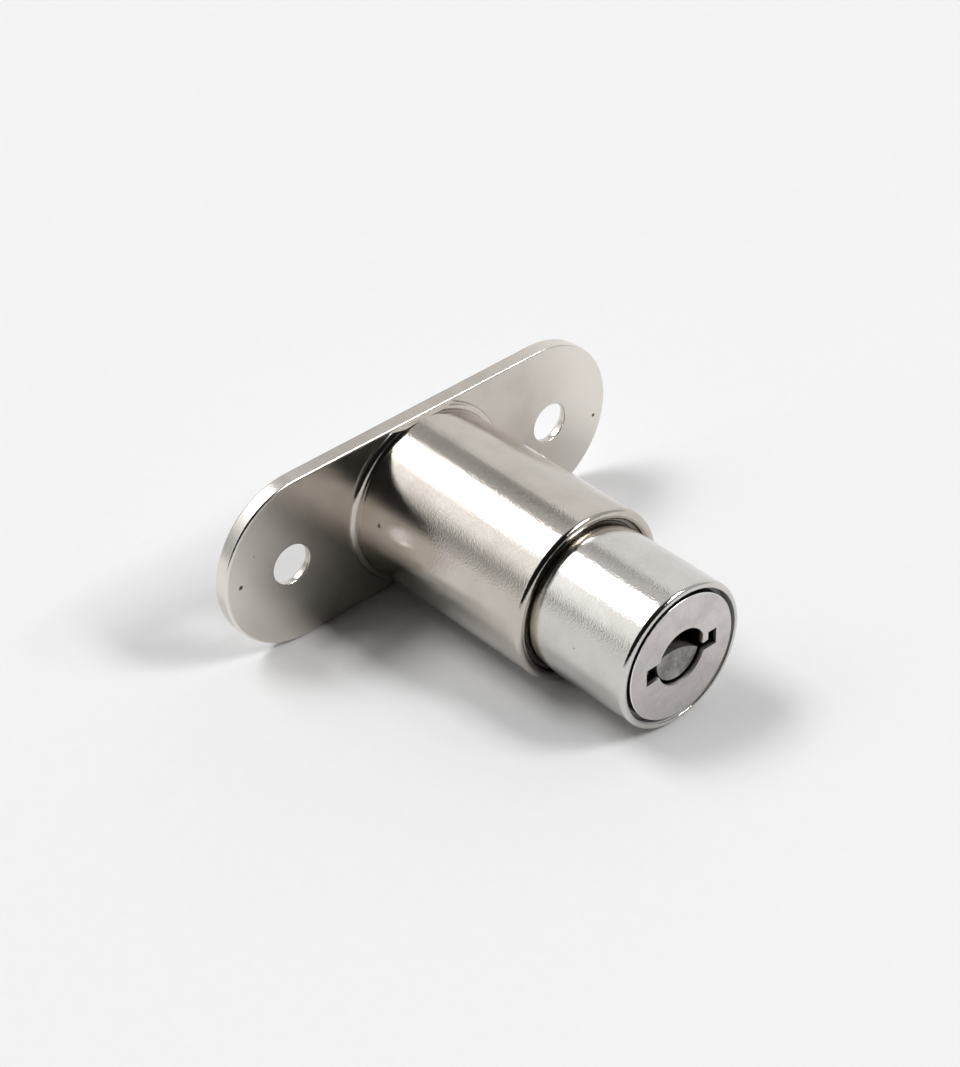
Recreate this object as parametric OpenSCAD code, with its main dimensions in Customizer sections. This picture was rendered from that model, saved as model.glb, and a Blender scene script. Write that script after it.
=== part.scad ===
// Plunger lock for a sliding glass or wooden door, drawn released, with the plunger out.
// The origin is on the lock's axis, in the flange face that bears on the door.
// The key side looks along -Y, the flange is long in X, and Z points up.
// Inside on_axis() the third coordinate runs from the flange face towards the key.

/* [Flange] */
// Length of the oval flange
flange_l = 52; // [46:0.5:60]
// Width of the flange across its straight edges
flange_w = 19.5; // [19.2:0.1:22]
// Thickness of the flange
flange_t = 1.8; // [1.7:0.1:3]
// Rounding of the flange's rims
flange_edge = 0.3; // [0.1:0.05:0.6]
// Distance between the two screw holes
screw_spacing = 35.5; // [33:0.5:40]
// Diameter of a screw hole
screw_hole_d = 4.5; // [3.5:0.1:5]
// Diameter of a screw hole's countersink in the back face
screw_sink_d = 6.8; // [5.5:0.1:7.5]
// Depth of the countersink
screw_sink_t = 1.15; // [0.8:0.05:1.5]

/* [Barrel] */
// Outer diameter of the barrel
barrel_d = 19; // [18.8:0.1:19.2]
// Length of the barrel in front of the flange
barrel_l = 24.5; // [23:0.5:30]
// Diameter of the barrel's mouth round the plunger
mouth_d = 16.6; // [16.3:0.1:17]
// Depth of the wider mouth
mouth_t = 0.8; // [0.5:0.1:1.5]
// Radius of the half-round ring at the barrel's foot
collar_r = 0.6; // [0.4:0.05:1]
// How far the ring's crown circle is centred outside the barrel
collar_out = 0.2; // [0.1:0.05:0.6]

/* [Plunger] */
// Diameter of the plunger
plunger_d = 15.9; // [15.6:0.1:16]
// How far the plunger stands out of the barrel when released
plunger_out = 12.6; // [11:0.2:14]
// How far the plunger goes in
travel = 9; // [7:0.5:9]
// Rounding of the plunger's front edge
plunger_edge = 0.5; // [0.2:0.05:0.6]
// Thickness of the wall between the spring and the latch slot
plunger_wall = 1.5; // [1.2:0.1:2]
// Diameter of the recess round the plug's head
recess_d = 14.6; // [14.2:0.1:14.8]
// Depth of that recess
recess_t = 1.2; // [1:0.1:1.6]

/* [Bolt and back cap] */
// Diameter of the locking bolt
bolt_d = 7; // [6:0.1:7.4]
// Rounding of the bolt's tip
bolt_edge = 0.8; // [0.3:0.1:1.2]
// Diameter of the rivet that holds the bolt to the plunger
bolt_rivet_d = 3.9; // [3:0.1:4.5]
// Diameter of the cap in the flange's back
cap_d = 17.6; // [17:0.1:17.8]
// Thickness of the cap
cap_t = 1.4; // [1:0.1:1.6]
// How far the cap lies below the flange's back face
cap_sink = 0.1; // [0.05:0.05:0.2]

/* [Return spring] */
// Wire diameter of the return spring
spring_wire = 0.8; // [0.6:0.1:1]
// Mean diameter of its coil
spring_d = 11.4; // [10:0.2:12]
// Number of its turns
spring_turns = 5.5; // [4:0.5:5.5]
// Room left for the spring when the plunger is in
spring_room = 4.8; // [4.8:0.1:6]

/* [Stop pin] */
// Diameter of the pin that guides and stops the plunger
stop_d = 2; // [1.5:0.1:2.2]
// Distance from the plunger's back to the pin when released
stop_back = 2; // [1.9:0.1:2.4]
// Depth of the pin's groove in the plunger
stop_groove = 1.15; // [0.8:0.05:1.2]

/* [Latch] */
// Thickness of the latch plate
latch_t = 2.4; // [2:0.1:2.6]
// Width of the latch plate
latch_w = 6.6; // [6.4:0.1:7]
// Bevel on the nose's edge that rides into the barrel
latch_bevel = 1.2; // [0.8:0.1:1.4]
// How far the cam draws the latch back
latch_lift = 1.3; // [1:0.1:1.3]
// Free play between the cam's pin and the latch
latch_play = 0.3; // [0.28:0.02:0.4]
// Thickness of the latch's bar above the cam's pin
latch_bar = 2.3; // [2:0.1:2.4]
// Depth of the slot above the lock's axis
latch_slot_top = 6.9; // [6.8:0.1:7]
// Wire diameter of the latch spring
latch_wire = 0.4; // [0.3:0.05:0.5]
// Mean diameter of the latch spring
latch_spring_d = 1.9; // [1.6:0.1:2]
// Turns of the latch spring
latch_turns = 3; // [2:0.5:3.5]

/* [Cam] */
// Thickness of the cam's disc
cam_t = 1; // [0.8:0.1:1.2]
// Diameter of the cam's eccentric pin
cam_pin_d = 2; // [1.6:0.1:2.2]
// Width of the tongue that drives the cam
tongue_w = 1.5; // [1.2:0.1:2]
// Length of the tongue across the plug
tongue_l = 6; // [5:0.5:8]
// Height of the tongue
tongue_h = 1.2; // [0.8:0.1:1.4]

/* [Plug] */
// Diameter of the plug's barrel
plug_d = 11.1; // [10.9:0.1:11.2]
// Diameter of the plug's head
head_d = 13.7; // [12.8:0.1:13.9]
// Rounding of the head's rim
head_edge = 0.15; // [0.05:0.05:0.3]
// Diameter of the pin that keeps the plug in
keeper_d = 1.5; // [1.2:0.1:1.8]
// Depth of the pin's ring groove in the plug
keeper_groove = 0.7; // [0.5:0.05:0.8]
// Distance from the plug's tail to the ring groove's middle
keeper_back = 3.2; // [3:0.1:3.4]

/* [Keyway] */
// Diameter of the keyway's round part
key_round_d = 6.2; // [6:0.1:6.4]
// Depth of the round part and the seat of its post
key_round_t = 4; // [3:0.1:4]
// Length of the slot across the plug
key_slot_l = 9.4; // [8.6:0.1:9.6]
// Height of the slot
key_slot_h = 1.9; // [1.5:0.05:2]
// Distance from the axis to the outer face of the ward beside the round part
ward_x = 3.6; // [3.4:0.1:4]
// Width of the ward at the slot's other end
ward_end_w = 0.6; // [0.4:0.05:0.7]
// How far the end ward stays below the plug's face
ward_end_sink = 0.4; // [0.2:0.05:0.8]
// Gap left beside a ward
ward_gap = 1; // [0.6:0.05:1.1]
// Diameter of the keyway's post
post_d = 5.6; // [5:0.1:5.8]
// Depth of the post's seat below the round part
post_seat_t = 0.8; // [0.5:0.1:1.2]
// How far the keyway's post stays below the plug's face
post_sink = 0.55; // [0.3:0.05:1]
// Height of the post's crown above the axis
post_top = 0.8; // [0.4:0.1:1]
// Side shift of the crown's highest point
post_shift = 1.2; // [0.6:0.1:1.6]
// Radius of the crown
post_crown_r = 6; // [4:0.5:8]

/* [Wafers] */
// Thickness of a wafer
wafer_t = 0.9; // [0.7:0.05:1]
// Height of a wafer's plate
wafer_h = 4.6; // [4:0.1:4.8]
// Distance from one wafer to the next
wafer_pitch = 1.8; // [1.7:0.05:1.85]
// Distance from the ring groove to the first wafer
wafer_back = 2; // [1.9:0.05:2.1]
// How far a wafer comes out of the plug when no key holds it
wafer_out = 0.55; // [0.4:0.05:0.6]
// Length of the window for the key
window_l = 8.4; // [7.6:0.1:8.6]
// Height of the window
window_h = 2.2; // [2:0.1:2.4]
// Length of the lug that the wafer's spring pushes
lug_l = 1; // [0.8:0.1:1.2]
// Height of the lug above the plate
lug_h = 1; // [0.9:0.05:1.1]
// Length of a wafer spring
wafer_spring_l = 2.4; // [2:0.1:2.6]
// Outer diameter of a wafer spring
wafer_spring_d = 0.8; // [0.6:0.05:0.85]

/* [Clearances] */
// Radial clearance of a part that slides or turns
running_gap = 0.05; // [0.03:0.01:0.08]
// Radial clearance of a part that is pressed in
seat_gap = 0.02; // [0.01:0.01:0.03]
// Clearance of a plate in its slot, on each side
slot_gap = 0.1; // [0.08:0.01:0.12]
// Gap between faces that meet
face_gap = 0.1; // [0.05:0.01:0.15]

/* [Hidden] */
$fn = 64;

// A cut runs this far past the face that it opens
cut = 1;
// Each wafer is a node of its own
WAFERS = 5;
barrel_r = barrel_d / 2;
plunger_r = plunger_d / 2;
bore_r = plunger_r + running_gap;
mouth_r = mouth_d / 2;
lip_r = (barrel_r - mouth_r) / 2;
cap_front = cap_t + cap_sink - flange_t;

// Places along the axis, from the flange face towards the key
face_s = barrel_l + plunger_out;
plunger_back = cap_front + spring_room + travel;
latch_s = plunger_back + plunger_wall + slot_gap;
slot_front = latch_s + latch_t + slot_gap;
cam_s = slot_front + face_gap;
plug_back = cam_s + cam_t + face_gap;
keeper_s = plug_back + keeper_back;
recess_s = face_s - recess_t;
stop_s = plunger_back + stop_back;
key_slot_s = keeper_s + keeper_d;
key_round_s = face_s - key_round_t;

plug_r = plug_d / 2;
plug_bore_r = plug_r + running_gap;
cam_pin_r = cam_pin_d / 2;
latch_top = cam_pin_r + latch_play + latch_bar;
wafer_slot_h = wafer_h + 2 * slot_gap;
wafer_r = plug_r - running_gap;
broach_r = wafer_r + wafer_out + slot_gap;
lug_top = wafer_h / 2 + lug_h;

// Turns the lock's axis from Z to -Y
module on_axis() {
    rotate([90, 0, 0]) children();
}

// A cylinder between two places along the axis
module shaft(r, from, to) {
    translate([0, 0, from]) cylinder(r = r, h = to - from);
}

// A box centred on the axis between two places along it
module block(w, h, from, to) {
    translate([-w / 2, -h / 2, from]) cube([w, h, to - from]);
}

// Half of a rectangle with rounded corners, for turning into a disc
module disc_half(r, t, edge) {
    square([r - edge, t]);
    translate([0, edge]) square([r, t - 2 * edge]);
    for (y = [edge, t - edge]) translate([r - edge, y]) circle(r = edge, $fn = 32);
}

// A plate with two round ends and rounded rims, its front face at zero
module oval_plate(l, w, t, edge) {
    for (side = [-1, 1])
        translate([side * (l - w) / 2, 0, -t]) rotate_extrude() disc_half(w / 2, t, edge);
    for (side = [-1, 1])
        translate([-(l - w) / 2, 0, -t]) rotate([90, 0, 90])
            linear_extrude(l - w) mirror([side < 0 ? 1 : 0, 0]) disc_half(w / 2, t, edge);
}

// The outline of the flange without its rounding
module oval(l, w) {
    square([l - w, w], center = true);
    for (side = [-1, 1]) translate([side * (l - w) / 2, 0]) circle(d = w);
}

// Rings of a coil's tube: one list of points per ring, six points to a ring
function coil_centre(r, length, turns, a) =
    [r * cos(a), r * sin(a), length * a / (360 * turns)];
function coil_ring(c, a, wire_r) = [
    for (k = [0:5]) let (b = 60 * k)
        [c[0] + wire_r * cos(b) * cos(a), c[1] + wire_r * cos(b) * sin(a), c[2] + wire_r * sin(b)]
];
COIL_RINGS = 8;
function coil_steps(turns) = round(turns * COIL_RINGS);
function coil_centres(r, length, turns) = [
    for (i = [0:coil_steps(turns)]) coil_centre(r, length, turns, 360 * i / COIL_RINGS)
];
function coil_gap(centres, wire) = min([
    for (i = [0:len(centres) - 1], j = [i + COIL_RINGS / 2:1:len(centres) - 1])
        norm(centres[i] - centres[j]) - wire
]);

// A spring as one unbroken tube that stands on zero and is as high as told
module coil(mean_d, wire, height, turns) {
    steps = coil_steps(turns);
    length = height - wire;
    centres = coil_centres(mean_d / 2, length, turns);
    points = [
        for (i = [0:steps]) each coil_ring(centres[i], 360 * i / COIL_RINGS, wire / 2)
    ];
    sides = [
        for (i = [0:steps - 1], k = [0:5])
            let (a = 6 * i + k, b = 6 * i + (k + 1) % 6)
                each [[a, a + 6, b], [b, a + 6, b + 6]]
    ];
    first = [[0, 1, 2], [0, 2, 3], [0, 3, 4], [0, 4, 5]];
    last = [for (face = first) [for (p = [2:-1:0]) face[p] + 6 * steps]];
    translate([0, 0, wire / 2]) polyhedron(points, concat(sides, first, last));
    echo(coil_gap = coil_gap(centres, wire));
}

// Stadium flange, foot ring and barrel in one casting
module housing() {
    color("silver") on_axis() difference() {
        union() {
            oval_plate(flange_l, flange_w, flange_t, flange_edge);
            intersection() {
                rotate_extrude() translate([barrel_r + collar_out, 0]) circle(r = collar_r, $fn = 32);
                linear_extrude(collar_r + cut) oval(flange_l, flange_w);
            }
            shaft(barrel_r, -flange_t / 2, barrel_l - lip_r);
            translate([0, 0, barrel_l - lip_r])
                rotate_extrude() translate([mouth_r + lip_r, 0]) circle(r = lip_r, $fn = 32);
        }
        shaft(bore_r, cap_front - cut / 2, barrel_l);
        shaft(mouth_r, barrel_l - mouth_t, barrel_l + cut);
        shaft(cap_d / 2 + seat_gap, -flange_t - cut, cap_front);
        for (side = [-1, 1]) translate([side * screw_spacing / 2, 0, -flange_t]) screw_hole();
        latch_window();
        translate([0, 0, stop_s]) rotate([0, 90, 0]) cylinder(d = stop_d + 2 * seat_gap, h = barrel_r + cut);
    }
}

// A screw hole from the flange's back, with the countersink there
module screw_hole() {
    cylinder(d = screw_hole_d, h = flange_t + cut);
    cylinder(d1 = screw_sink_d, d2 = screw_hole_d, h = screw_sink_t);
    translate([0, 0, -cut]) cylinder(d = screw_sink_d, h = cut);
}

// The window in the barrel's underside that the latch enters when the plunger is in
module latch_window() {
    width = latch_w + 4 * slot_gap;
    translate([-width / 2, -barrel_r - cut, latch_s - travel - 2 * slot_gap])
        cube([width, barrel_r, latch_t + 4 * slot_gap]);
}

// Disc in the flange's back that guides the bolt and carries the spring
module rear_cap() {
    color("gainsboro") on_axis() difference() {
        shaft(cap_d / 2, cap_front - cap_t, cap_front);
        shaft(bolt_d / 2 + running_gap, cap_front - cap_t - cut, cap_front + cut);
    }
}

// Pin through the barrel's wall into the plunger's groove
module stop_pin() {
    inner = plunger_r - stop_groove + face_gap;
    color("gray") on_axis() translate([inner, 0, stop_s])
        rotate([0, 90, 0]) cylinder(d = stop_d, h = barrel_r - face_gap - inner);
}

// Spring round the bolt, from the cap to the plunger's back
module return_spring() {
    height = plunger_back - cap_front - 2 * face_gap;
    color("darkgray") on_axis() translate([0, 0, cap_front + face_gap])
        coil(spring_d, spring_wire, height, spring_turns);
}

// Sleeve that carries the plug, the latch and the bolt
module plunger() {
    color("silver") on_axis() difference() {
        union() {
            shaft(plunger_r, plunger_back, face_s - plunger_edge);
            translate([0, 0, face_s - 2 * plunger_edge - cut])
                rotate_extrude() disc_half(plunger_r, 2 * plunger_edge + cut, plunger_edge);
        }
        shaft(recess_d / 2, recess_s, face_s + cut);
        shaft(plug_bore_r, slot_front, face_s);
        shaft(bolt_rivet_d / 2 + seat_gap, plunger_back - cut, latch_s);
        latch_slot();
        stop_slot();
        broaches();
        translate([0, 0, keeper_s]) rotate([-90, 0, 0])
            cylinder(d = keeper_d + 2 * seat_gap, h = plunger_r + cut);
    }
}

// Slot across the plunger for the latch and its spring, open below
module latch_slot() {
    width = latch_w + 2 * slot_gap;
    translate([-width / 2, -plunger_r - cut, latch_s - slot_gap])
        cube([width, plunger_r + cut + latch_slot_top, latch_t + 2 * slot_gap]);
}

// Groove along the plunger's side for the stop pin
module stop_slot() {
    width = stop_d + 2 * slot_gap;
    back = stop_s - stop_d / 2 - face_gap;
    translate([plunger_r - stop_groove, -width / 2, back])
        cube([plunger_r, width, travel + stop_d + 2 * face_gap]);
}

// Grooves in the plug's bore that take the wafers' ends at rest and after a quarter turn
module broaches() {
    back = wafer_s(0) - wafer_t / 2 - slot_gap;
    front = wafer_s(WAFERS - 1) + wafer_t / 2 + slot_gap;
    for (turn = [0, 90]) rotate(turn) intersection() {
        block(2 * broach_r, wafer_slot_h, back, front);
        shaft(broach_r, back, front);
    }
}

// Locking bolt with the rivet that holds it to the plunger
module bolt() {
    tip = -flange_t + cap_sink;
    length = plunger_back - tip;
    color("gainsboro") on_axis() {
        translate([0, 0, tip]) rotate_extrude() {
            disc_half(bolt_d / 2, 2 * bolt_edge + cut, bolt_edge);
            translate([0, bolt_edge]) square([bolt_d / 2, length - bolt_edge]);
        }
        shaft(bolt_rivet_d / 2, plunger_back - cut, plunger_back + plunger_wall - seat_gap);
    }
}

// Pin in the plunger's wall that runs in the plug's ring groove
module plug_retainer() {
    length = plunger_r - plug_r + keeper_groove - 2 * face_gap;
    color("gray") on_axis() translate([0, plunger_r - face_gap, keeper_s])
        rotate([90, 0, 0]) cylinder(d = keeper_d, h = length);
}

// Plate across the plunger: its nose below rides on the barrel's bore
module latch() {
    window_h = 2 * (cam_pin_r + latch_play);
    window_left = latch_lift + cam_pin_r + slot_gap;
    window_right = cam_pin_r + slot_gap;
    color("darkgray") on_axis() difference() {
        intersection() {
            translate([-latch_w / 2, -barrel_r, latch_s]) cube([latch_w, barrel_r + latch_top, latch_t]);
            shaft(plunger_r, latch_s - cut, latch_s + latch_t + cut);
        }
        translate([-window_left, -window_h / 2, latch_s - cut])
            cube([window_left + window_right, window_h, latch_t + 2 * cut]);
        translate([0, -plunger_r, latch_s]) rotate([45, 0, 0])
            cube([barrel_d, latch_bevel, latch_bevel], center = true);
    }
}

// Spring between the latch and the end of its slot
module latch_spring() {
    height = latch_slot_top - latch_top - 2 * face_gap;
    color("darkgray") on_axis() translate([0, latch_top + face_gap, latch_s + latch_t / 2])
        rotate([-90, 0, 0]) coil(latch_spring_d, latch_wire, height, latch_turns);
}

// Key core with its head, keyway, ring groove and the slots for the wafers
module plug() {
    color("lightgray") on_axis() difference() {
        union() {
            shaft(plug_r, plug_back, recess_s + recess_t / 2);
            translate([0, 0, recess_s + face_gap])
                rotate_extrude() disc_half(head_d / 2, recess_t - face_gap, head_edge);
        }
        keyway();
        difference() {
            shaft(plug_r + cut, keeper_s - keeper_d / 2 - slot_gap, keeper_s + keeper_d / 2 + slot_gap);
            shaft(plug_r - keeper_groove, plug_back, recess_s);
        }
        for (i = [0:WAFERS - 1]) wafer_slot(i);
        block(tongue_l + 2 * slot_gap, tongue_w + 2 * slot_gap, plug_back - cut, plug_back + tongue_h);
    }
}

// Round hole and slot for the key, with a ward on one side and another at the far end
module keyway() {
    ward_in = post_d / 2 + running_gap;
    ward_foot = ward_gap - key_slot_h / 2;
    slot_t = face_s - key_slot_s;
    shaft(post_d / 2 + seat_gap, key_round_s, face_s);
    difference() {
        union() {
            shaft(key_round_d / 2, key_round_s + post_seat_t, face_s + cut);
            block(key_slot_l, key_slot_h, key_slot_s, face_s + cut);
        }
        translate([ward_in, ward_foot, key_slot_s - cut])
            cube([ward_x - ward_in, key_round_d, slot_t + 3 * cut]);
        translate([-key_slot_l / 2 - cut, ward_foot, key_slot_s - cut])
            cube([ward_end_w + cut, key_slot_h, slot_t + cut - ward_end_sink]);
    }
}

// Post in its seat under the keyway's round part, with a crowned side
module keyway_post() {
    color("gray") on_axis() translate([0, 0, key_round_s + face_gap])
        linear_extrude(key_round_t - post_sink - face_gap) intersection() {
            circle(d = post_d);
            translate([-post_shift, post_top - post_crown_r]) circle(r = post_crown_r);
        }
}

// Disc driven by the plug's tail, with the eccentric pin that lifts the latch
module cam() {
    color("gray") on_axis() {
        shaft(plug_r, cam_s, cam_s + cam_t);
        block(tongue_l, tongue_w, cam_s + cam_t / 2, plug_back + tongue_h - face_gap);
        translate([-latch_lift, 0, 0]) shaft(cam_pin_r, latch_s, cam_s + cam_t / 2);
    }
}

function wafer_s(i) = keeper_s + keeper_d / 2 + wafer_back + i * wafer_pitch;
// Wafers come out to the right and to the left in turn
function wafer_side(i) = i % 2;

// The room for one wafer and its spring in the plug
module wafer_slot(i) {
    from = wafer_s(i) - wafer_t / 2 - slot_gap / 2;
    t = wafer_t + slot_gap;
    translate([-plug_d, -wafer_slot_h / 2, from]) cube([2 * plug_d, wafer_slot_h, t]);
    mirror([wafer_side(i), 0, 0])
        translate([-lug_l - wafer_spring_l - 2 * face_gap, 0, from])
            cube([lug_l + wafer_spring_l + wafer_out + 3 * face_gap, lug_top + slot_gap, t]);
}

// One wafer, flush with the plug, with the key's window and the spring's lug
module wafer(i) {
    color("goldenrod") on_axis() translate([0, 0, wafer_s(i) - wafer_t / 2])
        linear_extrude(wafer_t) mirror([wafer_side(i), 0]) {
            difference() {
                intersection() {
                    circle(r = wafer_r);
                    square([plug_d, wafer_h], center = true);
                }
                square([window_l, window_h], center = true);
            }
            translate([-lug_l, wafer_h / 2 - slot_gap]) square([lug_l, lug_h + slot_gap]);
        }
}

// The spring beside one wafer, a plain tube between the lug and the pocket's end
module wafer_spring(i) {
    color("darkgray") on_axis() mirror([wafer_side(i), 0, 0])
        translate([-lug_l - face_gap / 2, wafer_h / 2 + lug_h / 2, wafer_s(i)]) rotate([0, -90, 0])
            difference() {
                cylinder(d = wafer_spring_d, h = wafer_spring_l);
                translate([0, 0, -cut]) cylinder(d = wafer_spring_d / 2, h = wafer_spring_l + 2 * cut);
            }
}

module wafer_1() { wafer(0); }
module wafer_2() { wafer(1); }
module wafer_3() { wafer(2); }
module wafer_4() { wafer(3); }
module wafer_5() { wafer(4); }
module wafer_spring_1() { wafer_spring(0); }
module wafer_spring_2() { wafer_spring(1); }
module wafer_spring_3() { wafer_spring(2); }
module wafer_spring_4() { wafer_spring(3); }
module wafer_spring_5() { wafer_spring(4); }

housing();
rear_cap();
stop_pin();
return_spring();
plunger();
bolt();
plug_retainer();
latch();
latch_spring();
plug();
keyway_post();
cam();
wafer_1();
wafer_2();
wafer_3();
wafer_4();
wafer_5();
wafer_spring_1();
wafer_spring_2();
wafer_spring_3();
wafer_spring_4();
wafer_spring_5();
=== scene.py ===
"""Looks of a plunger lock for a sliding door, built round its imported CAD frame.

Sizes inside the classes are in millimetres and in the frame's own axes: Y runs from the key
side to the back, X along the oval flange and Z across it. A place along the lock's axis is
counted from the flange's front face towards the key, so it is minus Y. Each finished piece is
brought to metres with its place in its mesh. Scales of patterns are per metre, as the materials
read Object coordinates.
"""

from __future__ import annotations

import logging
import math
from dataclasses import dataclass
from enum import Enum
from typing import Any, Callable

import bpy
from mathutils import Matrix, Vector

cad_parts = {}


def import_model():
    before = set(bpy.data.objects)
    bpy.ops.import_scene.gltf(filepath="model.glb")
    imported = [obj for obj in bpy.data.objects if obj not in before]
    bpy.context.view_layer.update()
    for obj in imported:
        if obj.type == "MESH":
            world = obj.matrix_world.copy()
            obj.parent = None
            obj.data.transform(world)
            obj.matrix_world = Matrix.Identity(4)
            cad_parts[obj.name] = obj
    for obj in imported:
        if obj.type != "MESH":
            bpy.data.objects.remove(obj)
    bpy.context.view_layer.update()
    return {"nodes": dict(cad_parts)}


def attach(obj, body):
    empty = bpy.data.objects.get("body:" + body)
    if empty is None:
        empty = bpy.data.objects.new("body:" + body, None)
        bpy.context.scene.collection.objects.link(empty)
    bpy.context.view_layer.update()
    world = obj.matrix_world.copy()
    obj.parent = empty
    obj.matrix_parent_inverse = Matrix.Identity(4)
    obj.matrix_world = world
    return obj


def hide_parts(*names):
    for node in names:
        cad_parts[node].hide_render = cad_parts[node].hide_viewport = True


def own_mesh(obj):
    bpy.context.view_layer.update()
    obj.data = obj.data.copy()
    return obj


LOG = logging.getLogger("plunger_lock")
MM = 0.001
OVER = 1.0  # How far a cutting tool runs past the metal, in millimetres.
ON_FACE = 1e-3  # How near to a face a point counts as on it, in millimetres.
Colour = tuple[float, float, float]
Point = tuple[float, float]
EdgeTest = Callable[[Vector, Vector], bool]


class Cut(Enum):
    """How one solid works on another."""

    JOIN = "UNION"
    REMOVE = "DIFFERENCE"
    KEEP = "INTERSECT"


class Body(Enum):
    """The moving groups of the lock."""

    HOUSING = "housing"
    PLUNGER = "plunger"
    PLUG = "plug"


class Bench:
    """The operators that shape a piece, each run on nothing but that piece."""

    SEAM = 1e-4
    STRAY = 5e-4
    ON_CUT = 1e-5
    FACE_WEIGHT = 60
    BLOCK_STRIPS = 3

    @staticmethod
    def clear() -> None:
        """Leaves edit mode and deselects everything."""
        if bpy.context.object is not None and bpy.context.object.mode != "OBJECT":
            bpy.ops.object.mode_set(mode="OBJECT")
        bpy.ops.object.select_all(action="DESELECT")

    @staticmethod
    def hold(piece: bpy.types.Object) -> None:
        """Leaves one piece selected and active.

        Args:
            piece: The piece.
        """
        Bench.clear()
        piece.select_set(True)
        bpy.context.view_layer.objects.active = piece

    @staticmethod
    def settle(piece: bpy.types.Object) -> None:
        """Puts the piece's place, turn and size into its mesh."""
        Bench.hold(piece)
        bpy.ops.object.transform_apply(location=True, rotation=True, scale=True)

    @staticmethod
    def turn(name: str, profile: list[Point], steps: int = 192) -> bpy.types.Object:
        """Turns a closed outline into a solid about the lock's axis.

        Args:
            name: Name of the new object.
            profile: Corners as (radius, place along the axis); the last joins the first.
            steps: Number of steps in the full turn.

        Returns:
            The new object, in millimetres.
        """
        Bench.clear()
        bpy.ops.mesh.primitive_plane_add(size=1, location=(0, 0, 0))
        piece = bpy.context.object
        piece.name = name
        bpy.ops.object.mode_set(mode="EDIT")
        bpy.ops.mesh.select_all(action="SELECT")
        bpy.ops.mesh.merge(type="CENTER")
        bpy.ops.transform.translate(value=(profile[0][0], -profile[0][1], 0))
        for start, end in zip(profile, profile[1:] + profile[:1]):
            step = (end[0] - start[0], start[1] - end[1], 0)
            bpy.ops.mesh.extrude_vertices_move(TRANSFORM_OT_translate={"value": step})
        bpy.ops.mesh.select_all(action="SELECT")
        bpy.ops.mesh.remove_doubles(threshold=Bench.SEAM)
        bpy.ops.mesh.spin(steps=steps, angle=2 * math.pi, center=(0, 0, 0), axis=(0, 1, 0))
        bpy.ops.mesh.select_all(action="SELECT")
        bpy.ops.mesh.remove_doubles(threshold=Bench.SEAM)
        bpy.ops.mesh.delete_loose(use_verts=True, use_edges=True, use_faces=False)
        bpy.ops.mesh.select_all(action="SELECT")
        bpy.ops.mesh.normals_make_consistent(inside=False)
        bpy.ops.object.mode_set(mode="OBJECT")
        return piece

    @staticmethod
    def block(low: Vector, high: Vector, edge: float = 0.0) -> bpy.types.Object:
        """Makes a box between two corners.

        Args:
            low: Lowest corner.
            high: Highest corner.
            edge: Rounding of its edges, or 0 for sharp ones.

        Returns:
            The new object.
        """
        Bench.clear()
        bpy.ops.mesh.primitive_cube_add(size=1, location=(low + high) / 2)
        piece = bpy.context.object
        piece.scale = high - low
        Bench.settle(piece)
        if edge > 0:
            Bench.round_edges(piece, lambda a, b: True, edge, Bench.BLOCK_STRIPS)
        return piece

    @staticmethod
    def rod(start: Vector, end: Vector, radius: float, steps: int = 48) -> bpy.types.Object:
        """Makes a round rod between two points.

        Args:
            start: Middle of one end.
            end: Middle of the other end.
            radius: Radius of the rod.
            steps: Number of sides.

        Returns:
            The new object.
        """
        Bench.clear()
        along = end - start
        bpy.ops.mesh.primitive_cylinder_add(vertices=steps, radius=radius, depth=along.length)
        piece = bpy.context.object
        turn = along.to_track_quat("Z", "X").to_matrix().to_4x4()
        piece.data.transform(Matrix.Translation((start + end) / 2) @ turn)
        return piece

    @staticmethod
    def combine(piece: bpy.types.Object, tool: bpy.types.Object, how: Cut) -> None:
        """Joins, removes or keeps what a tool piece covers, and takes the tool away.

        Args:
            piece: The piece that stays.
            tool: The piece that is used up.
            how: What is done with the space of the tool.
        """
        Bench.hold(piece)
        bpy.ops.object.modifier_add(type="BOOLEAN")
        modifier = piece.modifiers[-1]
        modifier.operation = how.value
        modifier.solver = "EXACT"
        modifier.object = tool
        bpy.ops.object.modifier_apply(modifier=modifier.name)
        bpy.data.objects.remove(tool)

    @staticmethod
    def choose(piece: bpy.types.Object, test: EdgeTest) -> None:
        """Enters edit mode with the edges selected whose two ends pass a test.

        Args:
            piece: The piece to work on.
            test: Says from an edge's two ends whether it is wanted.
        """
        Bench.hold(piece)
        mesh = piece.data
        for part in (mesh.vertices, mesh.edges, mesh.polygons):
            part.foreach_set("select", [False] * len(part))
        for edge in mesh.edges:
            first, second = (mesh.vertices[i] for i in edge.vertices)
            if test(first.co, second.co):
                edge.select = first.select = second.select = True
        bpy.context.tool_settings.mesh_select_mode = (False, True, False)
        bpy.ops.object.mode_set(mode="EDIT")

    @staticmethod
    def round_edges(piece: bpy.types.Object, test: EdgeTest, width: float, segments: int) -> None:
        """Rounds the edges that pass a test.

        Args:
            piece: The piece to work on.
            test: Says from an edge's two ends whether it is rounded.
            width: Width of the rounding.
            segments: Number of its strips.
        """
        Bench.choose(piece, test)
        bpy.ops.mesh.bevel(offset=width, segments=segments, affect="EDGES", clamp_overlap=True)
        bpy.ops.object.mode_set(mode="OBJECT")
        bpy.context.tool_settings.mesh_select_mode = (True, False, False)

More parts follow.
